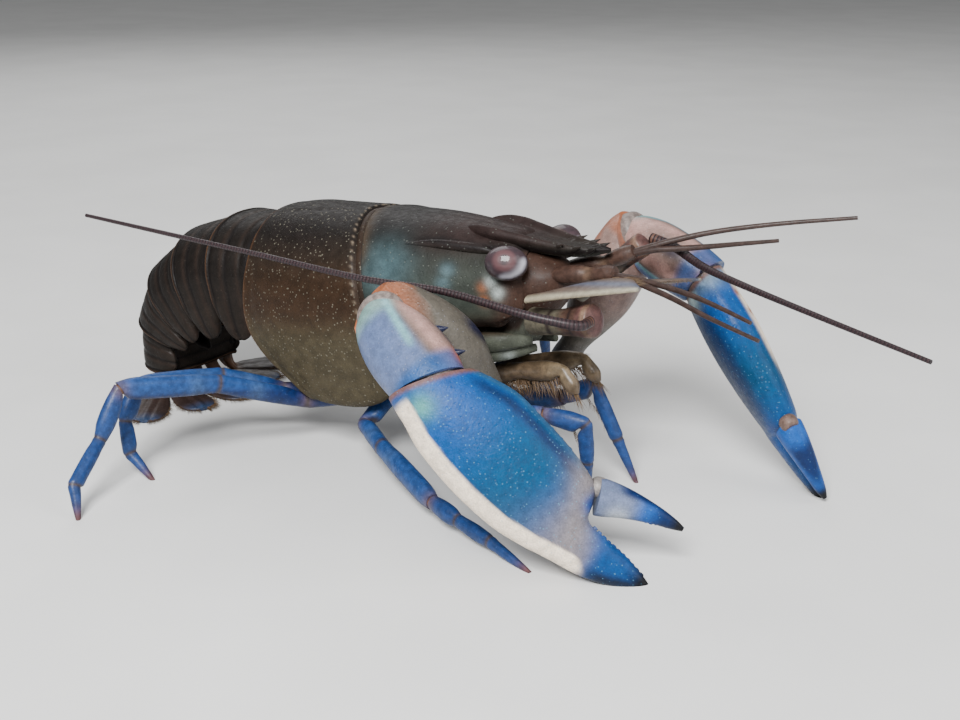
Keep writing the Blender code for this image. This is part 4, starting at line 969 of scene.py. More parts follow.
class Finish:
    """Builds the nodes of one material."""

    def __init__(self, name):
        self.material = bpy.data.materials.new(name)
        self.material.use_nodes = True
        self.tree = self.material.node_tree
        self.shader = self.tree.nodes["Principled BSDF"]
        self.place = self.add("ShaderNodeTexCoord").outputs["Object"]

    def add(self, kind, **settings):
        node = self.tree.nodes.new(kind)
        for key, value in settings.items():
            setattr(node, key, value)
        return node

    def link(self, source, target):
        self.tree.links.new(source, target)

    def mix(self, factor, first, second, blend="MIX"):
        node = self.add("ShaderNodeMix", data_type="RGBA", blend_type=blend)
        for value, socket in ((factor, node.inputs[0]), (first, node.inputs[6]), (second, node.inputs[7])):
            if isinstance(value, bpy.types.NodeSocket):
                self.link(value, socket)
            else:
                socket.default_value = value if isinstance(value, float) else (*value, 1)
        return node.outputs[2]

    def noise(self, size, detail=3.0):
        """Noise whose features are about this many millimetres across."""
        node = self.add("ShaderNodeTexNoise")
        node.inputs["Scale"].default_value = 1 / (size * MM)
        node.inputs["Detail"].default_value = detail
        self.link(self.place, node.inputs["Vector"])
        return node.outputs["Fac"]

    def cells(self, spacing, low, high):
        """Round spots: 1 inside low millimetres of each spot's middle and 0 past high."""
        node = self.add("ShaderNodeTexVoronoi")
        node.inputs["Scale"].default_value = 1 / (spacing * MM)
        self.link(self.place, node.inputs["Vector"])
        return self.fit(node.outputs["Distance"], high / spacing, low / spacing, 0.0, 1.0)

    def fit(self, value, low, high, to_low, to_high):
        node = self.add("ShaderNodeMapRange", interpolation_type="SMOOTHSTEP")
        for socket, number in zip(node.inputs[1:5], (low, high, to_low, to_high)):
            socket.default_value = number
        self.link(value, node.inputs[0])
        return node.outputs[0]

    def mask(self, label):
        return self.add("ShaderNodeAttribute", attribute_name=label).outputs["Fac"]

    def times(self, first, second):
        node = self.add("ShaderNodeMath", operation="MULTIPLY")
        for value, socket in ((first, node.inputs[0]), (second, node.inputs[1])):
            if isinstance(value, float):
                socket.default_value = value
            else:
                self.link(value, socket)
        return node.outputs[0]

    def stripes(self, label, pitch):
        """Stripes this many millimetres apart along a length stored on the mesh."""
        wave = self.add("ShaderNodeMath", operation="SINE")
        self.link(self.times(self.mask(label), math.tau / pitch), wave.inputs[0])
        return self.fit(wave.outputs[0], -0.2, 0.7, 0.0, 1.0)

    def bump(self, height, distance, before=None):
        """Bump of this many millimetres, over an earlier one."""
        node = self.add("ShaderNodeBump")
        node.inputs["Distance"].default_value = distance * MM
        self.link(height, node.inputs["Height"])
        if before is not None:
            self.link(before, node.inputs["Normal"])
        return node.outputs["Normal"]


def shell_finish(name, base, layers, mottle=0.18, mottle_size=1.6, speckle=None, rough=(0.42, 0.6),
                 grain=0.05, pits=0.04, wet=0.08, stripes=None, shine=0.3):
    """Damp cuticle: colours laid over the base by masks, then mottled, speckled, pitted and clear-coated."""
    f = Finish(name)
    colour = f.mix(0.0, tone(*base), tone(*base))
    for label, layer in layers:
        colour = f.mix(f.mask(label), colour, tone(*layer))
    patches = f.times(f.fit(f.noise(mottle_size, 5.0), 0.32, 0.68, 1 - mottle, 1 + mottle),
                      f.fit(f.noise(0.22, 2.0), 0.3, 0.7, 0.88, 1.12))
    shade = f.add("ShaderNodeVectorMath", operation="SCALE")
    f.link(colour, shade.inputs[0])
    f.link(patches, shade.inputs["Scale"])
    colour = shade.outputs[0]
    if speckle:
        spot_colour, spacing, size, amount = speckle
        patchy = f.fit(f.noise(spacing * 3), 0.4, 0.55, 0.25, amount)
        spots = f.times(f.cells(spacing, size * 0.55, size), patchy)
        colour = f.mix(spots, colour, tone(*spot_colour))
    if stripes:
        colour = f.mix(f.stripes("arc", stripes[1]), colour, tone(*stripes[0]))
    f.link(colour, f.shader.inputs["Base Color"])
    f.link(f.fit(f.noise(0.8, 4.0), 0.3, 0.7, *rough), f.shader.inputs["Roughness"])
    f.shader.inputs["Coat Weight"].default_value = wet
    f.shader.inputs["Coat Roughness"].default_value = 0.25
    f.shader.inputs["Specular IOR Level"].default_value = shine
    normal = f.bump(f.noise(0.35, 4.0), grain)
    normal = f.bump(f.cells(0.75, 0.06, 0.2), -pits, normal)
    if stripes:
        normal = f.bump(f.stripes("arc", stripes[1]), -0.03, normal)
    f.link(normal, f.shader.inputs["Normal"])
    return f.material


BODY_SHEEN = {"rough": (0.5, 0.66), "wet": 0.03, "shine": 0.12}
HEAD_SHEEN = {"rough": (0.48, 0.64), "wet": 0.03, "shine": 0.14}
CLAW_SHEEN = {"rough": (0.4, 0.54), "wet": 0.05, "shine": 0.18}
FINISHES = {
    # The back's rim colour is the hind margin's orange line, and it is partly a painted highlight along the
    # raised rim.
    "back": shell_finish("back_shell", (60, 42, 28), [
        ("low_side", (78, 70, 52)), ("upper_side", (43, 34, 27)), ("dark_top", (29, 24, 22)),
        ("rim", (170, 114, 72)), ("seam", (52, 40, 32)), ("dots", (150, 134, 114))],
        speckle=((132, 128, 112), 0.62, 0.15, 0.8), **BODY_SHEEN),
    # The head's low_edge colour is its dark lower margin with a painted shadow of the whip on it.
    "head": shell_finish("head_shell", (56, 62, 55), [
        ("low_side", (72, 58, 44)), ("upper_side", (42, 39, 33)), ("dark_top", (27, 23, 22)),
        ("cheek", (70, 95, 101)), ("streak", (86, 110, 116)), ("low_edge", (40, 28, 22)),
        ("beak", (50, 37, 35)), ("face", (70, 49, 40)), ("rim", (86, 70, 54)), ("orange", (136, 82, 50)),
        ("dark_line", (30, 24, 24)), ("plate", (92, 96, 84)), ("white", (186, 196, 192))],
        speckle=((126, 132, 122), 0.75, 0.13, 0.5), **HEAD_SHEEN),
    # The tail's dark colour is painted shade in the furrows and in the gaps between somites.
    "tail": shell_finish("tail_shell", (27, 22, 19), [
        ("low_side", (40, 33, 28)), ("ridge", (46, 35, 29)), ("rim", (104, 70, 46)), ("dark", (18, 14, 14))],
        speckle=((110, 96, 84), 0.9, 0.1, 0.3), **BODY_SHEEN),
    "fan": shell_finish("fan_shell", (58, 44, 40), [
        ("edge", (48, 68, 102)), ("rim", (130, 88, 60))], speckle=((120, 104, 90), 0.9, 0.1, 0.3)),
    # The palm's deep colour is painted shade: a band under the medial crest, and on the far claw its shadow
    # side.
    "palm": shell_finish("palm_shell", (0, 84, 168), [
        ("teal", (0, 76, 106)), ("deep", (8, 46, 96)), ("crest", (44, 98, 146)), ("pale", (150, 140, 138)),
        ("hinge", (6, 66, 150)), ("base_tint", (96, 172, 168)), ("margin", (296, 276, 250)),
        ("white", (206, 232, 230)), ("rim", (132, 90, 72)), ("tip", (4, 72, 140)),
        ("claw_point", (8, 9, 15)), ("spots", (164, 60, 26))],
        mottle=0.12, mottle_size=1.0, speckle=((120, 190, 226), 0.6, 0.12, 0.4), **CLAW_SHEEN),
    # root_glint is a painted highlight: a white glint at the moving finger's root.
    "finger": shell_finish("finger_shell", (20, 96, 190), [
        ("pale", (124, 134, 160)), ("edge", (8, 40, 96)), ("tip", (8, 38, 88)), ("claw_point", (10, 11, 18)),
        ("root_glint", (236, 244, 250)), ("rim", (116, 82, 70))],
        mottle=0.12, mottle_size=1.0, speckle=((130, 196, 228), 0.6, 0.1, 0.3), **CLAW_SHEEN),
    "arm": shell_finish("arm_shell", (104, 98, 88), [
        ("lilac", (108, 128, 174)), ("cyan", (150, 196, 190)), ("pink", (206, 162, 152)),
        ("rim", (206, 122, 84)), ("groove", (140, 200, 208)), ("deep", (30, 92, 162)),
        ("orange", (192, 104, 54)), ("navy", (20, 26, 60)), ("white", (224, 216, 204))],
        mottle=0.14, mottle_size=1.2, speckle=((200, 204, 220), 0.6, 0.1, 0.3), rough=(0.34, 0.52)),
    # On the legs, deep is painted shade on the thigh's lower side and a darker tone over the shin. Pale is
    # the pale basis, partly a painted highlight. Knee is the orange knee, and at the coxa it is a painted
    # pink reflection.
    "leg": shell_finish("leg_shell", (34, 80, 148), [
        ("deep", (12, 32, 88)), ("pale", (84, 114, 156)), ("knee", (122, 92, 84)), ("foot", (100, 60, 58)),
        ("line", (78, 66, 64))],
        mottle=0.24, mottle_size=0.9, speckle=((110, 150, 206), 0.6, 0.1, 0.3), pits=0.03),
    "feeler": shell_finish("feeler_shell", (86, 62, 52), [
        ("olive", (104, 98, 82)), ("knob", (106, 72, 68)), ("pale", (168, 138, 112)),
        ("dark", (42, 30, 29))],
        mottle=0.25, mottle_size=0.7, rough=(0.4, 0.55), pits=0.0, grain=0.04),
    "whip": shell_finish("whip_shell", (58, 39, 43), [("knob", (140, 100, 80))],
                         mottle=0.1, mottle_size=3.0, rough=(0.4, 0.55), pits=0.0, grain=0.01,
                         stripes=((34, 22, 27), WHIP_RING_PITCH)),
    "scale": shell_finish("scale_shell", (108, 90, 78), [
        ("edge", (206, 198, 168)), ("blue", (92, 112, 146))],
                          mottle=0.15, mottle_size=1.0, pits=0.01, grain=0.02),
    "mouth": shell_finish("mouth_shell", (104, 86, 66), [
        ("pale", (156, 136, 106)), ("blue", (44, 100, 176))],
                          mottle=0.3, mottle_size=1.0, rough=(0.3, 0.45), pits=0.02, wet=0.2),
    "skin": shell_finish("joint_skin", (112, 78, 62), [("pale", (206, 208, 206)), ("dark", (44, 32, 28))],
                         mottle=0.3, mottle_size=0.8, rough=(0.4, 0.6), pits=0.0, grain=0.08),
    "hair": shell_finish("hair", (108, 82, 58), [("pale", (138, 114, 84))],
                         mottle=0.1, rough=(0.5, 0.6), pits=0.0, grain=0.0, wet=0.0),
}


# Joints, teeth and hairs
def barrel(name, place, heading, reach, radius, flatness, across, masks=None):
    """Soft skin that fills a joint."""
    heading = heading.normalized()
    points = [place + heading * reach * t for t, _ in JOINT_SKIN]
    sizes = [radius * k for _, k in JOINT_SKIN]
    shell = Shell(path_rings(points, sizes, [s * flatness for s in sizes], across, 12), 2, 2)
    piece(name, shell.mesh(name), FINISHES["skin"], masks=masks)


def bumps(shell, places, heading, side, radius, reach):
    """Add blunt teeth to a shell, pointing one way."""
    for place in places:
        size = DICE.uniform(0.75, 1.15)
        outs = [-TOOTH_ROOT] + [t * reach for t, _ in TOOTH]
        points = [place + heading * out * size for out in outs]
        halves = [radius * size] + [radius * size * k for _, k in TOOTH]
        shell.join(Shell(path_rings(points, halves, halves, side, 8), 2, 1))


def unit_rows(vectors):
    return vectors / np.linalg.norm(vectors, axis=1, keepdims=True)


def hairs(name, roots, headings, length, width, sag=0.25, spread=0.35):
    """Tapered three-sided hairs from the roots along their headings, bending down a little."""
    count = len(roots)
    roots, headings = np.array([tuple(r) for r in roots]), np.array([tuple(h) for h in headings])
    headings = unit_rows(headings) + RANDOM.normal(0, spread, (count, 3)) * 0.5
    headings = unit_rows(headings)
    lengths = length * RANDOM.uniform(0.6, 1.1, (count, 1))
    side = unit_rows(np.cross(headings, RANDOM.normal(size=(count, 3))))
    other = np.cross(headings, side)
    fall = np.array((0, 0, -sag))
    points = []
    for t in (0.0, 0.35, 0.7):
        middle = roots + headings * lengths * t + fall * lengths * t ** 2
        for turn in range(3):
            angle = math.tau * turn / 3
            off = side * math.cos(angle) + other * math.sin(angle)
            points.append(middle + off * width * (1 - 0.75 * t))
    points.append(roots + headings * lengths + fall * lengths)
    points = np.stack(points, axis=1)
    points[:, :, 2] = np.maximum(points[:, :, 2], 0)
    sides = [(low + turn, low + (turn + 1) % 3, low + 3 + (turn + 1) % 3, low + 3 + turn)
             for low in (0, 3) for turn in range(3)]
    ends = [(6, 7, 9), (7, 8, 9), (8, 6, 9)]
    starts = points.shape[1] * np.arange(count)[:, None, None]
    faces = (starts + np.array(sides)).reshape(-1, 4).tolist()
    tips = (starts + np.array(ends)).reshape(-1, 3).tolist()
    mesh = bpy.data.meshes.new(name)
    places = (points.reshape(-1, 3) - np.array(FOOTPRINT_CENTRE)) * MM
    mesh.from_pydata(places.tolist(), [], faces + tips)
    for label in ("ring", "turn"):
        mesh.attributes.new(label, "FLOAT", "POINT")
    piece(name, mesh, FINISHES["hair"], masks={"pale": steady(float(RANDOM.uniform(0.0, 0.5)))})


def fringe(name, line, heading, hair, sag):
    """Hairs of one heading along a line."""
    count, length, width = hair
    hairs(name, along_line(line, count), [heading] * count, length, width, sag)


def along_line(places, count):
    """Evenly spaced places along a line, jittered a little."""
    places = np.array([tuple(p) for p in places])
    steps = np.append(0, np.cumsum(np.linalg.norm(np.diff(places, axis=0), axis=1)))
    at_steps = np.linspace(0, steps[-1], count)
    line = np.stack([np.interp(at_steps, steps, places[:, k]) for k in range(3)], axis=1)
    return line + RANDOM.normal(0, 0.08, line.shape)


# Body
def body_masks():
    def z(p):
        return in_body(p)[:, 2]

    return {
        "upper_side": lambda p, ring, turn: ramp(z(p), 2.5, 8.0),
        "dark_top": lambda p, ring, turn: ramp(z(p), 7.0, 11.0),
        "low_side": lambda p, ring, turn: ramp(z(p), 0.0, -6.0),
    }


def seam_ring(shift, inset):
    return carapace_ring(edge_between(HIND_EDGE, GROOVE_EDGE, 1, shift), inset)


def make_thorax():
    shell = Shell(thorax_rings(), 8, 8)
    p = in_body(shell.points)
    relief = 0.16 * band(shell.ring, 1.7, 0.35) - 0.14 * band(shell.ring, 2.5, 0.3)
    back = ramp(p[:, 2], 9.0, 11.5) * ramp(shell.ring, 3.0, 4.5) * ramp(shell.ring, 11.5, 9.0)
    relief -= 0.22 * band(np.abs(p[:, 1]), 2.0 + 0.16 * (20 - p[:, 0]), 0.5) * back
    relief -= 0.12 * band(p[:, 1], 0, 0.3) * back
    shell.push(relief)

    def dots(p, ring, turn):
        return band(ring, 11.1, 0.14) * ramp(np.sin(turn * math.tau * SEAM_DOTS), 0.0, 0.9) * 0.8

    masks = body_masks()
    # Orange line on the raised hind rim, partly a painted highlight
    masks["rim"] = lambda p, ring, turn: band(ring, 1.5, 0.3) * 0.9
    masks["seam"] = lambda p, ring, turn: ramp(ring, 11.3, 12.0) * 0.7
    masks["dots"] = dots
    piece("back_shell", shell.mesh("back_shell"), FINISHES["back"], ["thorax"], masks)
    rings = [seam_ring(shift, inset) for shift, inset in SEAM_SKIN]
    piece("neck_seam", Shell(rings, 3, 6).mesh("neck_seam"), FINISHES["back"], masks={"seam": steady(0.8)})


def near_body(places, radius):
    """1 near places given in the body's frame."""
    return near_any([body(*place) for place in places], radius)


def make_head():
    head = Shell(head_rings(), 10, 8)
    p = in_body(head.points)
    for sign in (-1, 1):
        mark = near_line(body(27, sign * 9.0, 6.4), body(39, sign * 6.6, 5.0), 0.9)
        values = mark(head.points, head.ring, head.turn)
        groove = values if sign < 0 else np.maximum(groove, values)
    ridge = 0.12 * band(head.ring, 1.6, 0.4) - 0.15 * band(p[:, 1], 0, 0.5) * ramp(p[:, 2], 7, 9)
    head.push(ridge - 0.2 * groove)
    beak = Shell(rostrum_rings(), 6, 6)
    rear = ramp(beak.ring, BEAK_ROOT_RINGS, 0.0)
    beak.points[:, 1] *= 1 - BEAK_ROOT_NARROWING * rear
    beak.points[:, 2] -= BEAK_ROOT_DROP * rear
    head.join(beak)
    for side in SIDE_SIGN:
        for rings in head_detail_rings(side):
            head.join(Shell(rings, 6, 4))
        for rings in mouth_plate_rings(side):
            head.join(Shell(rounded(rings), 6, 4))

    def x(p):
        return in_body(p)[:, 0]

    def z(p):
        return in_body(p)[:, 2]

    def dark_line(p, ring, turn):
        return ramp(x(p), 28, 31) * band(z(p) - np.interp(x(p), *zip(*KEEL_SHADOW)), 0, 0.4)

    masks = body_masks()
    masks.update({
        "cheek": near_body([(25.6, -10.4, 5.2), (25.6, 10.4, 5.2)], 4.0),
        "streak": near_body([(34.9, -8.7, 4.5), (34.4, -9.2, 2.8), (34.9, 8.7, 4.5)], 1.1),
        # Dark brown lower margin, partly a painted shadow of the whip
        "low_edge": lambda p, ring, turn: ramp(z(p), -1.9, -3.4) * ramp(x(p), 24, 30) * (ring < JOINED),
        "beak": lambda p, ring, turn: ramp(x(p), 25, 36) * ramp(z(p), 4.5 + 0.12 * (45 - x(p)), 8.5),
        "face": lambda p, ring, turn: ramp(x(p), 40.0, 43.5) * ramp(z(p), 7.0, 5.0) * (ring < JOINED),
        "rim": lambda p, ring, turn: band(ring, 0.9, 0.4) * ramp(z(p), 4, 8) * 0.7,
        "orange": near_body([(40, -7.9, 1.9), (40.2, -8.1, 0.2), (40, 7.9, 1.9)], 0.8),
        "white": near_body([(41.2, -7.3, 2.6), (42, -7.4, 1.1), (41.2, 7.3, 2.6), (41.5, -6.2, -8.6),
                            (41.5, 6.2, -8.6)], 0.9),
        "dark_line": dark_line,
        "plate": lambda p, ring, turn: ramp(z(p), -4.6, -5.6),
    })
    piece("head_shell", head.mesh("head_shell"), FINISHES["head"], ["head"], masks)
    rings = [oval(body(x, 0, z), body_direction(1, 0, 0), ACROSS, wide, high, 16)
             for x, wide, z, high in FACE_SKIN]
    piece("face_skin", Shell(rings, 4, 3).mesh("face"), FINISHES["head"], masks={"face": steady(1.0)})


def make_tail():
    masks = {
        "low_side": lambda p, ring, turn: ramp(np.abs(turn - 0.5), 0.26, 0.14) * (ring < JOINED),
        "ridge": lambda p, ring, turn: np.maximum(band(ring, 3.0, 0.16), band(ring, 1.85, 0.18)) * 0.8,
        "rim": lambda p, ring, turn: band(ring, 4.55, 0.16) * 0.8,
        # Painted shade: dark in the furrows and where each somite tucks under the one before
        "dark": lambda p, ring, turn: 0.85 * np.max(
            [ramp(ring, 1.4, 0.6), band(ring, 3.95, 0.15), band(ring, 2.7, 0.12),
             0.8 * ramp(ring, 4.8, 5.0)], axis=0),
    }
    tube = []
    for i, rings in enumerate(abdomen_rings()):
        name = "abdomen_%d" % (i + 1)
        shell = Shell(rings, 10, 6)
        wave = 0.12 * band(shell.ring, 4.5, 0.3) - 0.16 * band(shell.ring, 4.0, 0.16)
        wave -= 0.14 * band(shell.ring, 2.7, 0.14) + 0.12 * band(shell.ring, 1.5, 0.2)
        shell.push(wave * (1 if i else 0))
        if 1 <= i <= 4:
            for side in SIDE_SIGN:
                shell.join(Shell(swimmeret_rings(i, side), 5, 4))
        piece("tail_shell_%d" % (i + 1), shell.mesh(name), FINISHES["tail"], [name], masks)
        for ring in (rings[0], rings[3]):
            middle = sum(ring, Vector()) / len(ring)
            tube.append([middle + (p - middle) * TAIL_SKIN_SCALE for p in ring])
    # The skin seen in the gaps between somites is painted dark as shade
    piece("tail_skin", Shell(tube, 3, 3).mesh("tail_skin"), FINISHES["tail"], masks={"dark": steady(0.75)})
    roots, headings = [], []
    count, length, width = FAN_HAIRS
    for name in FAN_BLADES:
        shell = Shell(fan_rings(name), 8, 8)
        heading = np.array(fan_heading(name))
        across = np.array((-heading[1], heading[0], 0))
        start = np.array(fan_start(name)[2])
        offset = (shell.points - start) @ across
        rib = band(offset, 0, 0.35) - band(np.abs(offset), 0.9, 0.3)
        shell.push(0.12 * rib * ramp(shell.points[:, 2], 0.5, 0.9))
        edge = shell.ring > 4.6
        rim = shell.points[edge & (np.abs(shell.points[:, 2] - 0.45) < 0.16)]
        picked = rim[RANDOM.permutation(len(rim))[:count]]
        roots.extend(picked)
        middle = start + heading * FAN_BLADES[name][2] * 0.55
        headings.extend((picked - middle) * (1, 1, 0) + heading * 3.0)
        mesh = shell.mesh(name)
        cut_at_floor(mesh)
        piece("blade_" + name, mesh, FINISHES["fan"], [name], {
            "edge": lambda p, ring, turn: ramp(ring, 5.5, 8.0),
            "rim": lambda p, ring, turn: band(ring, 1.5, 0.8)})
    hairs("fan_hairs", roots, headings, length, width, 0.05, 0.2)


# Limbs
def make_leg(name):
    hip, out, (coxa, ischium, knee, wrist, ankle, tip) = leg_joints(name)
    upper, lower = leg_rings(name)
    across = (tip - hip).cross(UP).normalized()
    bends = [(coxa, ischium, knee), (knee, wrist, ankle), (wrist, ankle, tip), (hip, coxa, ischium)]
    lines = greatest(*(joint_line(*bend, 0.25) for bend in bends))
    waists = greatest(*(joint_line(*bend, 0.9) for bend in bends))

    def fill(shell):
        """Fill the narrow waists and cut a fine line at each joint."""
        where = (shell.points, shell.ring, shell.turn)
        shell.push(0.15 * waists(*where) - 0.1 * lines(*where))

    low = np.array(tuple(across.cross(knee - ischium).normalized()))
    low *= -np.sign(low[2])
    masks = {
        # Painted shade on the thigh's lower side
        "deep": lambda p, ring, turn: ramp((p - np.array(ischium)) @ low, 0.1, 1.3) * 0.8,
        # Pale spots near the leg's base, partly a painted highlight
        "pale": near_any([coxa.lerp(ischium, 0.6), ischium.lerp(knee, 0.25)], 1.3),
        # Orange at the knee, and at the coxa a painted pink reflection
        "knee": near_any([knee, coxa], 1.3),
        "foot": near(tip, 1.8),
        "line": lines,
    }
    shell = Shell(upper, 6, 5)
    fill(shell)
    piece(name + "_thigh", shell.mesh(name), FINISHES["leg"], [name + "_upper"], masks)
    masks["deep"] = steady(0.35)
    shell = Shell(lower, 6, 5)
    fill(shell)
    mesh = shell.mesh(name)
    cut_at_floor(mesh)
    piece(name + "_shin", mesh, FINISHES["leg"], [name + "_lower"], masks)
    bend = joint_normal(ischium, knee, wrist)
    barrel(name + "_knee_skin", knee, bend, 0.9, 0.86, 0.95, across)
    barrel(name + "_hip_skin", hip, out, 1.2, 1.1, 0.9, ACROSS, {"dark": steady(0.4)})
    count, length, width = BRISTLES
    bristles = along_line([ankle, ankle.lerp(tip, 0.8)], count)
    down = (tip - ankle).normalized() * 0.8
    headings = [down + across * DICE.choice((-0.5, 0.5)) for _ in bristles]
    hairs(name + "_bristles", bristles, headings, length, width)
    if name.startswith("leg_2"):
        roots = list(along_line([ischium.lerp(knee, 0.2) - UP * 1.2, knee - UP * 1.0], THIGH_FRINGE))
        roots += list(along_line([wrist.lerp(knee, 0.4), ankle], SHIN_FRINGE))
        heading = -UP * 0.8 + (knee - ischium).normalized() * 0.5
        hairs(name + "_fringe", roots, [heading] * len(roots), *FRINGE_SIZE)


def make_claw(side):
    claw = Claw(side)
    origin, axis, medial, normal = (np.array(v) for v in (claw.origin, claw.axis, claw.medial, claw.normal))
    heading = np.array(claw.carpus_heading)
    inward = medial - medial @ heading * heading
    inward /= np.linalg.norm(inward)
    palm_along = [row[0] for row in PALM_STATIONS]

    def along(p):
        return (p - origin) @ axis / claw.length

    def across(p):
        return (p - origin) @ medial

    def deep(p):
        return (p - origin) @ normal

    def from_medial(p):
        return np.interp(along(p), palm_along, [row[1] for row in PALM_STATIONS]) - across(p)

    def from_lateral(p):
        return np.interp(along(p), palm_along, [row[2] for row in PALM_STATIONS]) + across(p)

    def past_wrist(p):
        return (p - origin) @ np.array(claw.wrist_normal)

    def past_elbow(p):
        return (p - np.array(claw.elbow)) @ heading

    def inner(p):
        return (p - np.array(claw.elbow)) @ inward

    plate = np.array(ARM_ACROSS[side].normalized())
    merus = np.array((claw.elbow - claw.ischium).normalized())

    def over_arm(p):
        return (p - np.array(claw.ischium)) @ (plate - plate @ merus * merus)

    def up_arm(p):
        return (p - np.array(claw.ischium)) @ merus / (claw.elbow - claw.ischium).length

    arm = Shell(claw.arm_rings(), 6, 6).mesh("arm")
    cut_off(arm, claw.elbow - claw.elbow_normal * GAP / 2, claw.elbow_normal)
    piece("upper_arm_" + side, arm, FINISHES["arm"], ["claw_arm_" + side], {
        "rim": lambda p, ring, turn: ramp(up_arm(p), 0.76, 0.86) * ramp(inner(p), 3.4, 1.6),
        "white": near(claw.elbow - claw.medial * 3.5 + claw.carpus_heading * 1.5, 1.8),
        "orange": lambda p, ring, turn: ramp(up_arm(p), 0.93, 1.0) * 0.6,
        "navy": lambda p, ring, turn: ramp(over_arm(p), 5.2, 6.3) * ramp(up_arm(p), 0.6, 0.45),
        "pink": lambda p, ring, turn: ramp(up_arm(p), 0.1, 0.5) * (0.5 if side == "left" else 0.0),
        "deep": near(claw.coxa, 3.5)})
    carpus = Shell(claw.carpus_rings(), 8, 8)
    for rings in claw.thorn_rings():
        carpus.join(Shell(rings, 4, 4))
    groove = band(inner(carpus.points), 1.5 - 0.08 * past_elbow(carpus.points), 0.8)
    carpus.push(-0.3 * groove * ramp(past_elbow(carpus.points), 11, 9) * ramp(deep(carpus.points), 0, 1.5))
    carpus = carpus.mesh("carpus")
    cut_off(carpus, claw.elbow + claw.elbow_normal * GAP / 2, -claw.elbow_normal)
    cut_off(carpus, claw.wrist - claw.wrist_normal * GAP / 2, claw.wrist_normal)
    piece("wrist_" + side, carpus, FINISHES["arm"], ["claw_wrist_" + side], {
        "lilac": lambda p, ring, turn: ramp(inner(p), 2.4, 0.6) * ramp(past_elbow(p), -0.5, 2.5),
        "cyan": lambda p, ring, turn: ramp(past_elbow(p), 3.2, 0.6) * 0.8,
        "pink": lambda p, ring, turn: band(inner(p), 3.3, 1.1) * (ring < JOINED),
        "groove": lambda p, ring, turn: (band(inner(p), 1.6 - 0.1 * past_elbow(p), 0.5)
                                         * ramp(past_elbow(p), 10, 8)),
        "deep": lambda p, ring, turn: ramp(past_elbow(p), 11.0, 12.6) * 0.85,
        "orange": near(claw.wrist + claw.medial * 4.0, 1.3),
        "navy": lambda p, ring, turn: np.maximum(
            ring >= JOINED, ramp(inner(p), 4.3, 4.9) * ramp(past_elbow(p), 2, 4)),
    })
    palm = Shell(claw.palm_rings(), 8, 8)
    edge = [row[1] for row in PALM_STATIONS]
    crest = [claw.point(a, np.interp(a, palm_along, edge) - 0.15, 0.4) for a in np.arange(0.08, 0.62, 0.045)]
    bumps(palm, crest, claw.medial, claw.axis, 0.4, 0.18)
    cutting = [claw.point(a, np.interp(a, palm_along, edge), 0) for a in np.arange(0.73, 0.96, 0.022)]
    bumps(palm, cutting, claw.medial, claw.axis, 0.32, 0.12)
    palm = palm.mesh("palm")
    cut_off(palm, claw.origin, -claw.wrist_normal)
    cut_at_floor(palm)
    masks = {
        "teal": lambda p, ring, turn: band(along(p), 0.42, 0.2) * 0.75,
        # Painted shade in a band under the medial crest
        "deep": lambda p, ring, turn: (band(from_medial(p), 1.7, 0.8) * ramp(along(p), 0.04, 0.14)
                                       * ramp(along(p), 0.62, 0.5)),
        "crest": lambda p, ring, turn: ramp(from_medial(p), 1.0, 0.3) * ramp(along(p), 0.66, 0.6),
        "pale": lambda p, ring, turn: 0.9 * band(along(p) + 0.012 * np.minimum(across(p), 4), 0.65,
                                                 0.08 + 0.012 * np.maximum(-across(p), 0)),
        "margin": lambda p, ring, turn: (ramp(from_lateral(p), 2.15, 1.75) * ramp(past_wrist(p), 1.0, 2.2)
                                         * ramp(along(p) + 0.035 * from_lateral(p), 0.83, 0.79)),
        "hinge": near(claw.point(0.665, 2.0, 2.0), 1.4),
        "base_tint": near(claw.point(0.02, -3.6, 3), 1.7),
        "rim": lambda p, ring, turn: ramp(past_wrist(p), 0.9, 0.3) * 0.9,
        "tip": lambda p, ring, turn: ramp(along(p), 0.75, 0.82),
        "claw_point": lambda p, ring, turn: np.maximum(
            ramp(along(p), 0.88, 0.97), ramp(along(p), 0.77, 0.85) * ramp(from_lateral(p), 2.0, 0.6) * 0.85),
    }
    if side == "left":
        masks["margin"] = lambda p, ring, turn: ramp(deep(p), -2.0, -3.0) * ramp(along(p), 0.5, 0.34)
        masks["white"] = near_any([claw.point(0.03, 0.6, 3.0), claw.point(0.0, 2.0, 0.0)], 2.0)
        masks["spots"] = near_any([claw.point(0.10, 3.0, -2.4), claw.point(0.19, 3.2, -3.0)], 0.65)
        # Painted shade on the far claw's shadow side
        masks["deep"] = lambda p, ring, turn: ramp(deep(p), 1.6, 3.0) * 0.9
        masks["crest"] = masks["pale"] = steady(0.0)
    piece("palm_" + side, palm, FINISHES["palm"], ["claw_palm_" + side], masks)
    finger = Shell(claw.finger_rings(), 8, 6)
    root, end = claw.finger_line()
    line = (end - root).normalized()
    out = (claw.medial - claw.medial.dot(line) * line).normalized()
    row = [root.lerp(end, t) - out * 1.5 * (1 - t) ** 0.7 for t in np.arange(0.28, 0.92, 0.05)]
    bumps(finger, row, -out, line, 0.3, 0.14)
    middle = (np.array(root), np.array(line), np.array(out))
    finger = finger.mesh("finger")
    point, hinge = claw.hinge()
    cut_off(finger, point, -hinge)
    cut_at_floor(finger)

    def up_finger(p):
        return (p - middle[0]) @ middle[1] / (end - root).length

    def off_finger(p):
        return np.abs((p - middle[0]) @ middle[2])

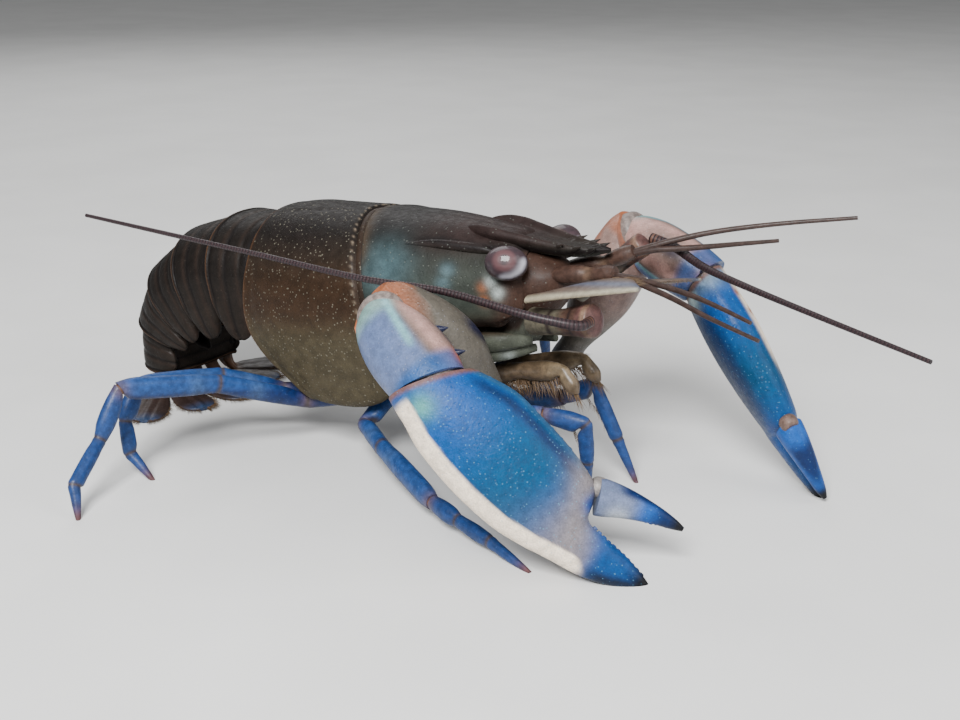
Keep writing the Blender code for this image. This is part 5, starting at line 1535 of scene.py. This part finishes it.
    piece("finger_" + side, finger, FINISHES["finger"], ["claw_finger_" + side], {
        "pale": lambda p, ring, turn: ramp(up_finger(p), 0.62, 0.4) * (0.85 if side == "right" else 0.0),
        "edge": lambda p, ring, turn: ramp(off_finger(p), 1.0, 1.9) * ramp(up_finger(p), 0.2, 0.4),
        "tip": lambda p, ring, turn: ramp(up_finger(p), 0.55, 0.8) * (1.0 if side == "right" else 0.3),
        "claw_point": lambda p, ring, turn: ramp(up_finger(p), 0.8, 0.95),
        # Painted highlight at the finger's root
        "root_glint": near(root + line * 4.2 - out * 1.3, 1.5),
        "rim": near(root + line * 3.0, 1.1) if side == "left" else steady(0.0),
    })
    skins = [("elbow_skin_", claw.elbow, claw.elbow_normal, 1.6, 3.4, 0.9, 0.3),
             ("wrist_skin_", claw.wrist, claw.wrist_normal, 1.8, 3.2, 0.85, 0.3),
             ("finger_skin_", point, hinge, 0.9, 1.3, 1.0, 0.5 if side == "right" else 0.1)]
    for name, spot, facing, reach, radius, flatness, pale in skins:
        barrel(name + side, spot, facing, reach, radius, flatness, claw.medial, {"pale": steady(pale)})
    hip, away = hip_on_sternum(ARM_HIP_X, ARM_HIP_Y * SIDE_SIGN[side])
    barrel("arm_hip_skin_" + side, hip, away, 1.4, 1.5, 0.9, ACROSS, {"dark": steady(0.3)})


# Head's limbs
def make_feelers(side):
    sign = SIDE_SIGN[side]
    joints = [Vector(p) for p in ANTENNA_BASE[side]]
    base = Shell(antenna_base_rings(side), 6, 6)
    heading = np.array((joints[-1] - joints[-2]).normalized())

    def past_knob(p):
        return (p - np.array(joints[-1])) @ heading

    masks = {
        "olive": lambda p, ring, turn: ramp(past_knob(p), -3.5, -5.5),
        "knob": lambda p, ring, turn: ramp(past_knob(p), -2.0, -1.0),
        "pale": lambda p, ring, turn: band(past_knob(p), -0.25, 0.35) * 0.9,
        "dark": greatest(joint_line(*joints[:3], 0.3), joint_line(*joints[1:4], 0.3)),
    }
    piece("antenna_root_" + side, base.mesh("base"), FINISHES["feeler"], ["antenna_base_" + side],
          masks)
    path = smooth_path(WHIPS[side], WHIP_STEPS)
    whip = Shell(tube_rings(path, *WHIP_RADII, 8), 1, 2)
    lengths = np.append(0, np.cumsum([(b - a).length for a, b in zip(path, path[1:])]))
    piece("whip_" + side, whip.mesh("whip"), FINISHES["whip"],
          ["antenna_whip_1_" + side, "antenna_whip_2_" + side], {
              "arc": lambda p, ring, turn: np.interp(ring, np.arange(len(lengths)), lengths),
              "knob": near(path[0], 1.2)})
    scale = Shell(scale_rings(side), 8, 6)
    start, end = (np.array(p) for p in SCALE_EDGE[side])
    blade = np.array(Vector((0.1, -sign * 0.95, 0.22)).normalized())
    face = np.cross(blade, (end - start) / np.linalg.norm(end - start))
    scale.points -= SCALE_THINNING * ((scale.points - start) @ face)[:, None] * face
    masks = {
        "edge": near_line(start, end, 0.55),
        "blue": lambda p, ring, turn: band((p - start) @ blade, 4.5, 0.9) * 0.6,
    }
    piece("scale_" + side, scale.mesh("scale"), FINISHES["scale"], ["antenna_scale_" + side],
          masks)
    rim = [start + (end - start) * t + blade * (at(SCALE_INNER, t) + 0.3)
           for t in np.linspace(0.15, 0.95, 14)]
    fringe("scale_fringe_" + side, rim, Vector(blade) + Vector((0.5, 0, -0.1)), SCALE_FRINGE, 0.25)
    stalk, *whips = antennule_rings(side)
    small = Shell(stalk, 6, 4)
    for rings in whips:
        small.join(Shell(rings, 6, 3))
    masks = {
        "dark": lambda p, ring, turn: np.where(ring < JOINED, 0.15, 0.6),
        "pale": near(ANTENNULES[side][1], 0.9),
    }
    piece("small_antenna_" + side, small.mesh("antennule"), FINISHES["feeler"], ["antennule_" + side],
          masks)
    line = [mirrored(p, side) for p in JAW_FOOT_POINTS]
    piece("jaw_limb_" + side, Shell(rounded(jaw_foot_rings(side)), 6, 5).mesh("jaw"), FINISHES["mouth"],
          ["jaw_foot_" + side], {"pale": near(line[2], 2.2), "blue": near(line[0], 3.0)})
    lower = [p - UP * 1.0 for p in line[:3]] + [line[3]]
    fringe("beard_" + side, lower, Vector((0.55, sign * 0.15, -0.75)), BEARD, 0.15)
    fringe("lash_" + side, [p + UP * 0.8 for p in line[1:3]], Vector((0.8, sign * 0.3, 0.25)), LASHES, 0.2)


def make_eye(side):
    f = Finish("eye_globe_" + side)
    layers = f.mix(f.fit(f.noise(0.9), 0.35, 0.65, 0.0, 1.0), tone(70, 46, 54), tone(52, 36, 44))
    layers = f.mix(f.mask("crescent"), layers, tone(224, 222, 234))
    # A reddish ring on the globe, partly a painted highlight
    layers = f.mix(f.mask("reddish_highlight_ring"), layers, tone(100, 62, 66))
    layers = f.mix(f.mask("pupil"), layers, tone(40, 20, 28))
    f.link(f.mix(f.mask("socket"), layers, tone(70, 48, 44)), f.shader.inputs["Base Color"])
    f.shader.inputs["Roughness"].default_value = 0.6
    f.shader.inputs["Coat Weight"].default_value = 0.35
    f.shader.inputs["Coat Roughness"].default_value = 0.04
    centre, axis = np.array(eye_centre(side)), -np.array(eye_inward(side))
    low_front = np.array(body_direction(0.62, 0.0, -0.78))

    def outward(p):
        unit = (p - centre) / np.linalg.norm(p - centre, axis=1, keepdims=True)
        return unit @ axis, unit @ low_front

    masks = {
        "crescent": lambda p, ring, turn: band(outward(p)[0], 0.5, 0.2) * ramp(outward(p)[1], 0.3, 0.6),
        # Reddish ring round the pupil, partly a painted highlight
        "reddish_highlight_ring": lambda p, ring, turn: ramp(outward(p)[0], 0.75, 0.9),
        "pupil": lambda p, ring, turn: ramp(outward(p)[0], 0.955, 0.98),
        "socket": lambda p, ring, turn: ramp(outward(p)[0], 0.2, 0.0),
    }
    piece("eye_globe_" + side, Shell(eye_rings(side, *EYE_FINENESS), 1, 1).mesh("eye"), f.material,
          ["eye_" + side], masks)


# Camera, light and floor, in metres, with places in the picture in pixels
CAMERA_AZIMUTH = math.radians(34.5)
CAMERA_HEIGHT = math.radians(19)
CAMERA_DISTANCE = 0.2
FOCAL_PIXELS = 1365.0
AIM_PIXEL = (448.0, 287.6)
IMAGE = (960, 720)
SENSOR_WIDTH = 36
CLIP_START = 0.001
LIGHTS = [("key_light", (0.14, -0.36, 0.36), 0.2, 6.2), ("fill_light", (0.42, 0.10, 0.26), 0.40, 1.5),
          ("back_light", (-0.34, 0.26, 0.36), 0.36, 1.1)]
LIGHT_TARGET = Vector((0, 0, 0.02))
SKY = (0.90, 0.91, 0.92, 1)
SKY_STRENGTH = 0.22
FLOOR_HALF = 12
FLOOR_TONES = ((0.70, 0.70, 0.69), (0.74, 0.74, 0.73))


def add_camera():
    """The camera sees the body's pivot at AIM_PIXEL of the picture."""
    back = Vector((math.sin(CAMERA_AZIMUTH) * math.cos(CAMERA_HEIGHT),
                   -math.cos(CAMERA_AZIMUTH) * math.cos(CAMERA_HEIGHT), math.sin(CAMERA_HEIGHT)))
    right = Vector((math.cos(CAMERA_AZIMUTH), math.sin(CAMERA_AZIMUTH), 0))
    up = back.cross(right)
    aim = (Vector((BODY_PIVOT.x, 0, PIVOT_HEIGHT)) - FOOTPRINT_CENTRE) * MM
    camera = bpy.data.cameras.new("camera")
    camera.sensor_width = SENSOR_WIDTH
    camera.lens = FOCAL_PIXELS * SENSOR_WIDTH / IMAGE[0]
    camera.clip_start = CLIP_START
    holder = bpy.data.objects.new("camera", camera)
    bpy.context.scene.collection.objects.link(holder)
    scale = CAMERA_DISTANCE / FOCAL_PIXELS
    holder.location = (aim + back * CAMERA_DISTANCE - right * (AIM_PIXEL[0] - IMAGE[0] / 2) * scale
                       + up * (AIM_PIXEL[1] - IMAGE[1] / 2) * scale)
    holder.rotation_euler = back.to_track_quat("Z", "Y").to_euler()
    bpy.context.scene.camera = holder


def add_light():
    for name, place, size, power in LIGHTS:
        lamp = bpy.data.lights.new(name, "AREA")
        lamp.size = size
        lamp.energy = power
        holder = bpy.data.objects.new(name, lamp)
        holder.location = place
        holder.rotation_euler = (Vector(place) - LIGHT_TARGET).to_track_quat("Z", "Y").to_euler()
        bpy.context.scene.collection.objects.link(holder)
    world = bpy.data.worlds.new("studio")
    world.use_nodes = True
    world.node_tree.nodes["Background"].inputs[0].default_value = SKY
    world.node_tree.nodes["Background"].inputs[1].default_value = SKY_STRENGTH
    bpy.context.scene.world = world


def add_floor():
    f = Finish("floor")
    f.link(f.mix(f.fit(f.noise(30.0), 0.3, 0.7, 0.0, 1.0), *FLOOR_TONES), f.shader.inputs["Base Color"])
    f.shader.inputs["Roughness"].default_value = 0.6
    mesh = bpy.data.meshes.new("floor")
    corners = [(x * FLOOR_HALF, y * FLOOR_HALF, 0) for x, y in ((-1, -1), (1, -1), (1, 1), (-1, 1))]
    mesh.from_pydata(corners, [], [(0, 1, 2, 3)])
    mesh.materials.append(f.material)
    floor = bpy.data.objects.new("floor", mesh)
    bpy.context.scene.collection.objects.link(floor)


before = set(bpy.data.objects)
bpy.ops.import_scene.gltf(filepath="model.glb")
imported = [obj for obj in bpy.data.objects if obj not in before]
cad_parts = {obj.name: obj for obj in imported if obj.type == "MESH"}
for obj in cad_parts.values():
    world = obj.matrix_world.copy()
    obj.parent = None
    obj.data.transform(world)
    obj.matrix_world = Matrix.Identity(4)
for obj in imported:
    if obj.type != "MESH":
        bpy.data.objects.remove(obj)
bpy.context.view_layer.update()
add_camera()
add_light()
add_floor()
make_thorax()
make_head()
make_tail()
for leg in LEGS:
    make_leg(leg)
for side in SIDE_SIGN:
    make_claw(side)
    make_feelers(side)
    make_eye(side)
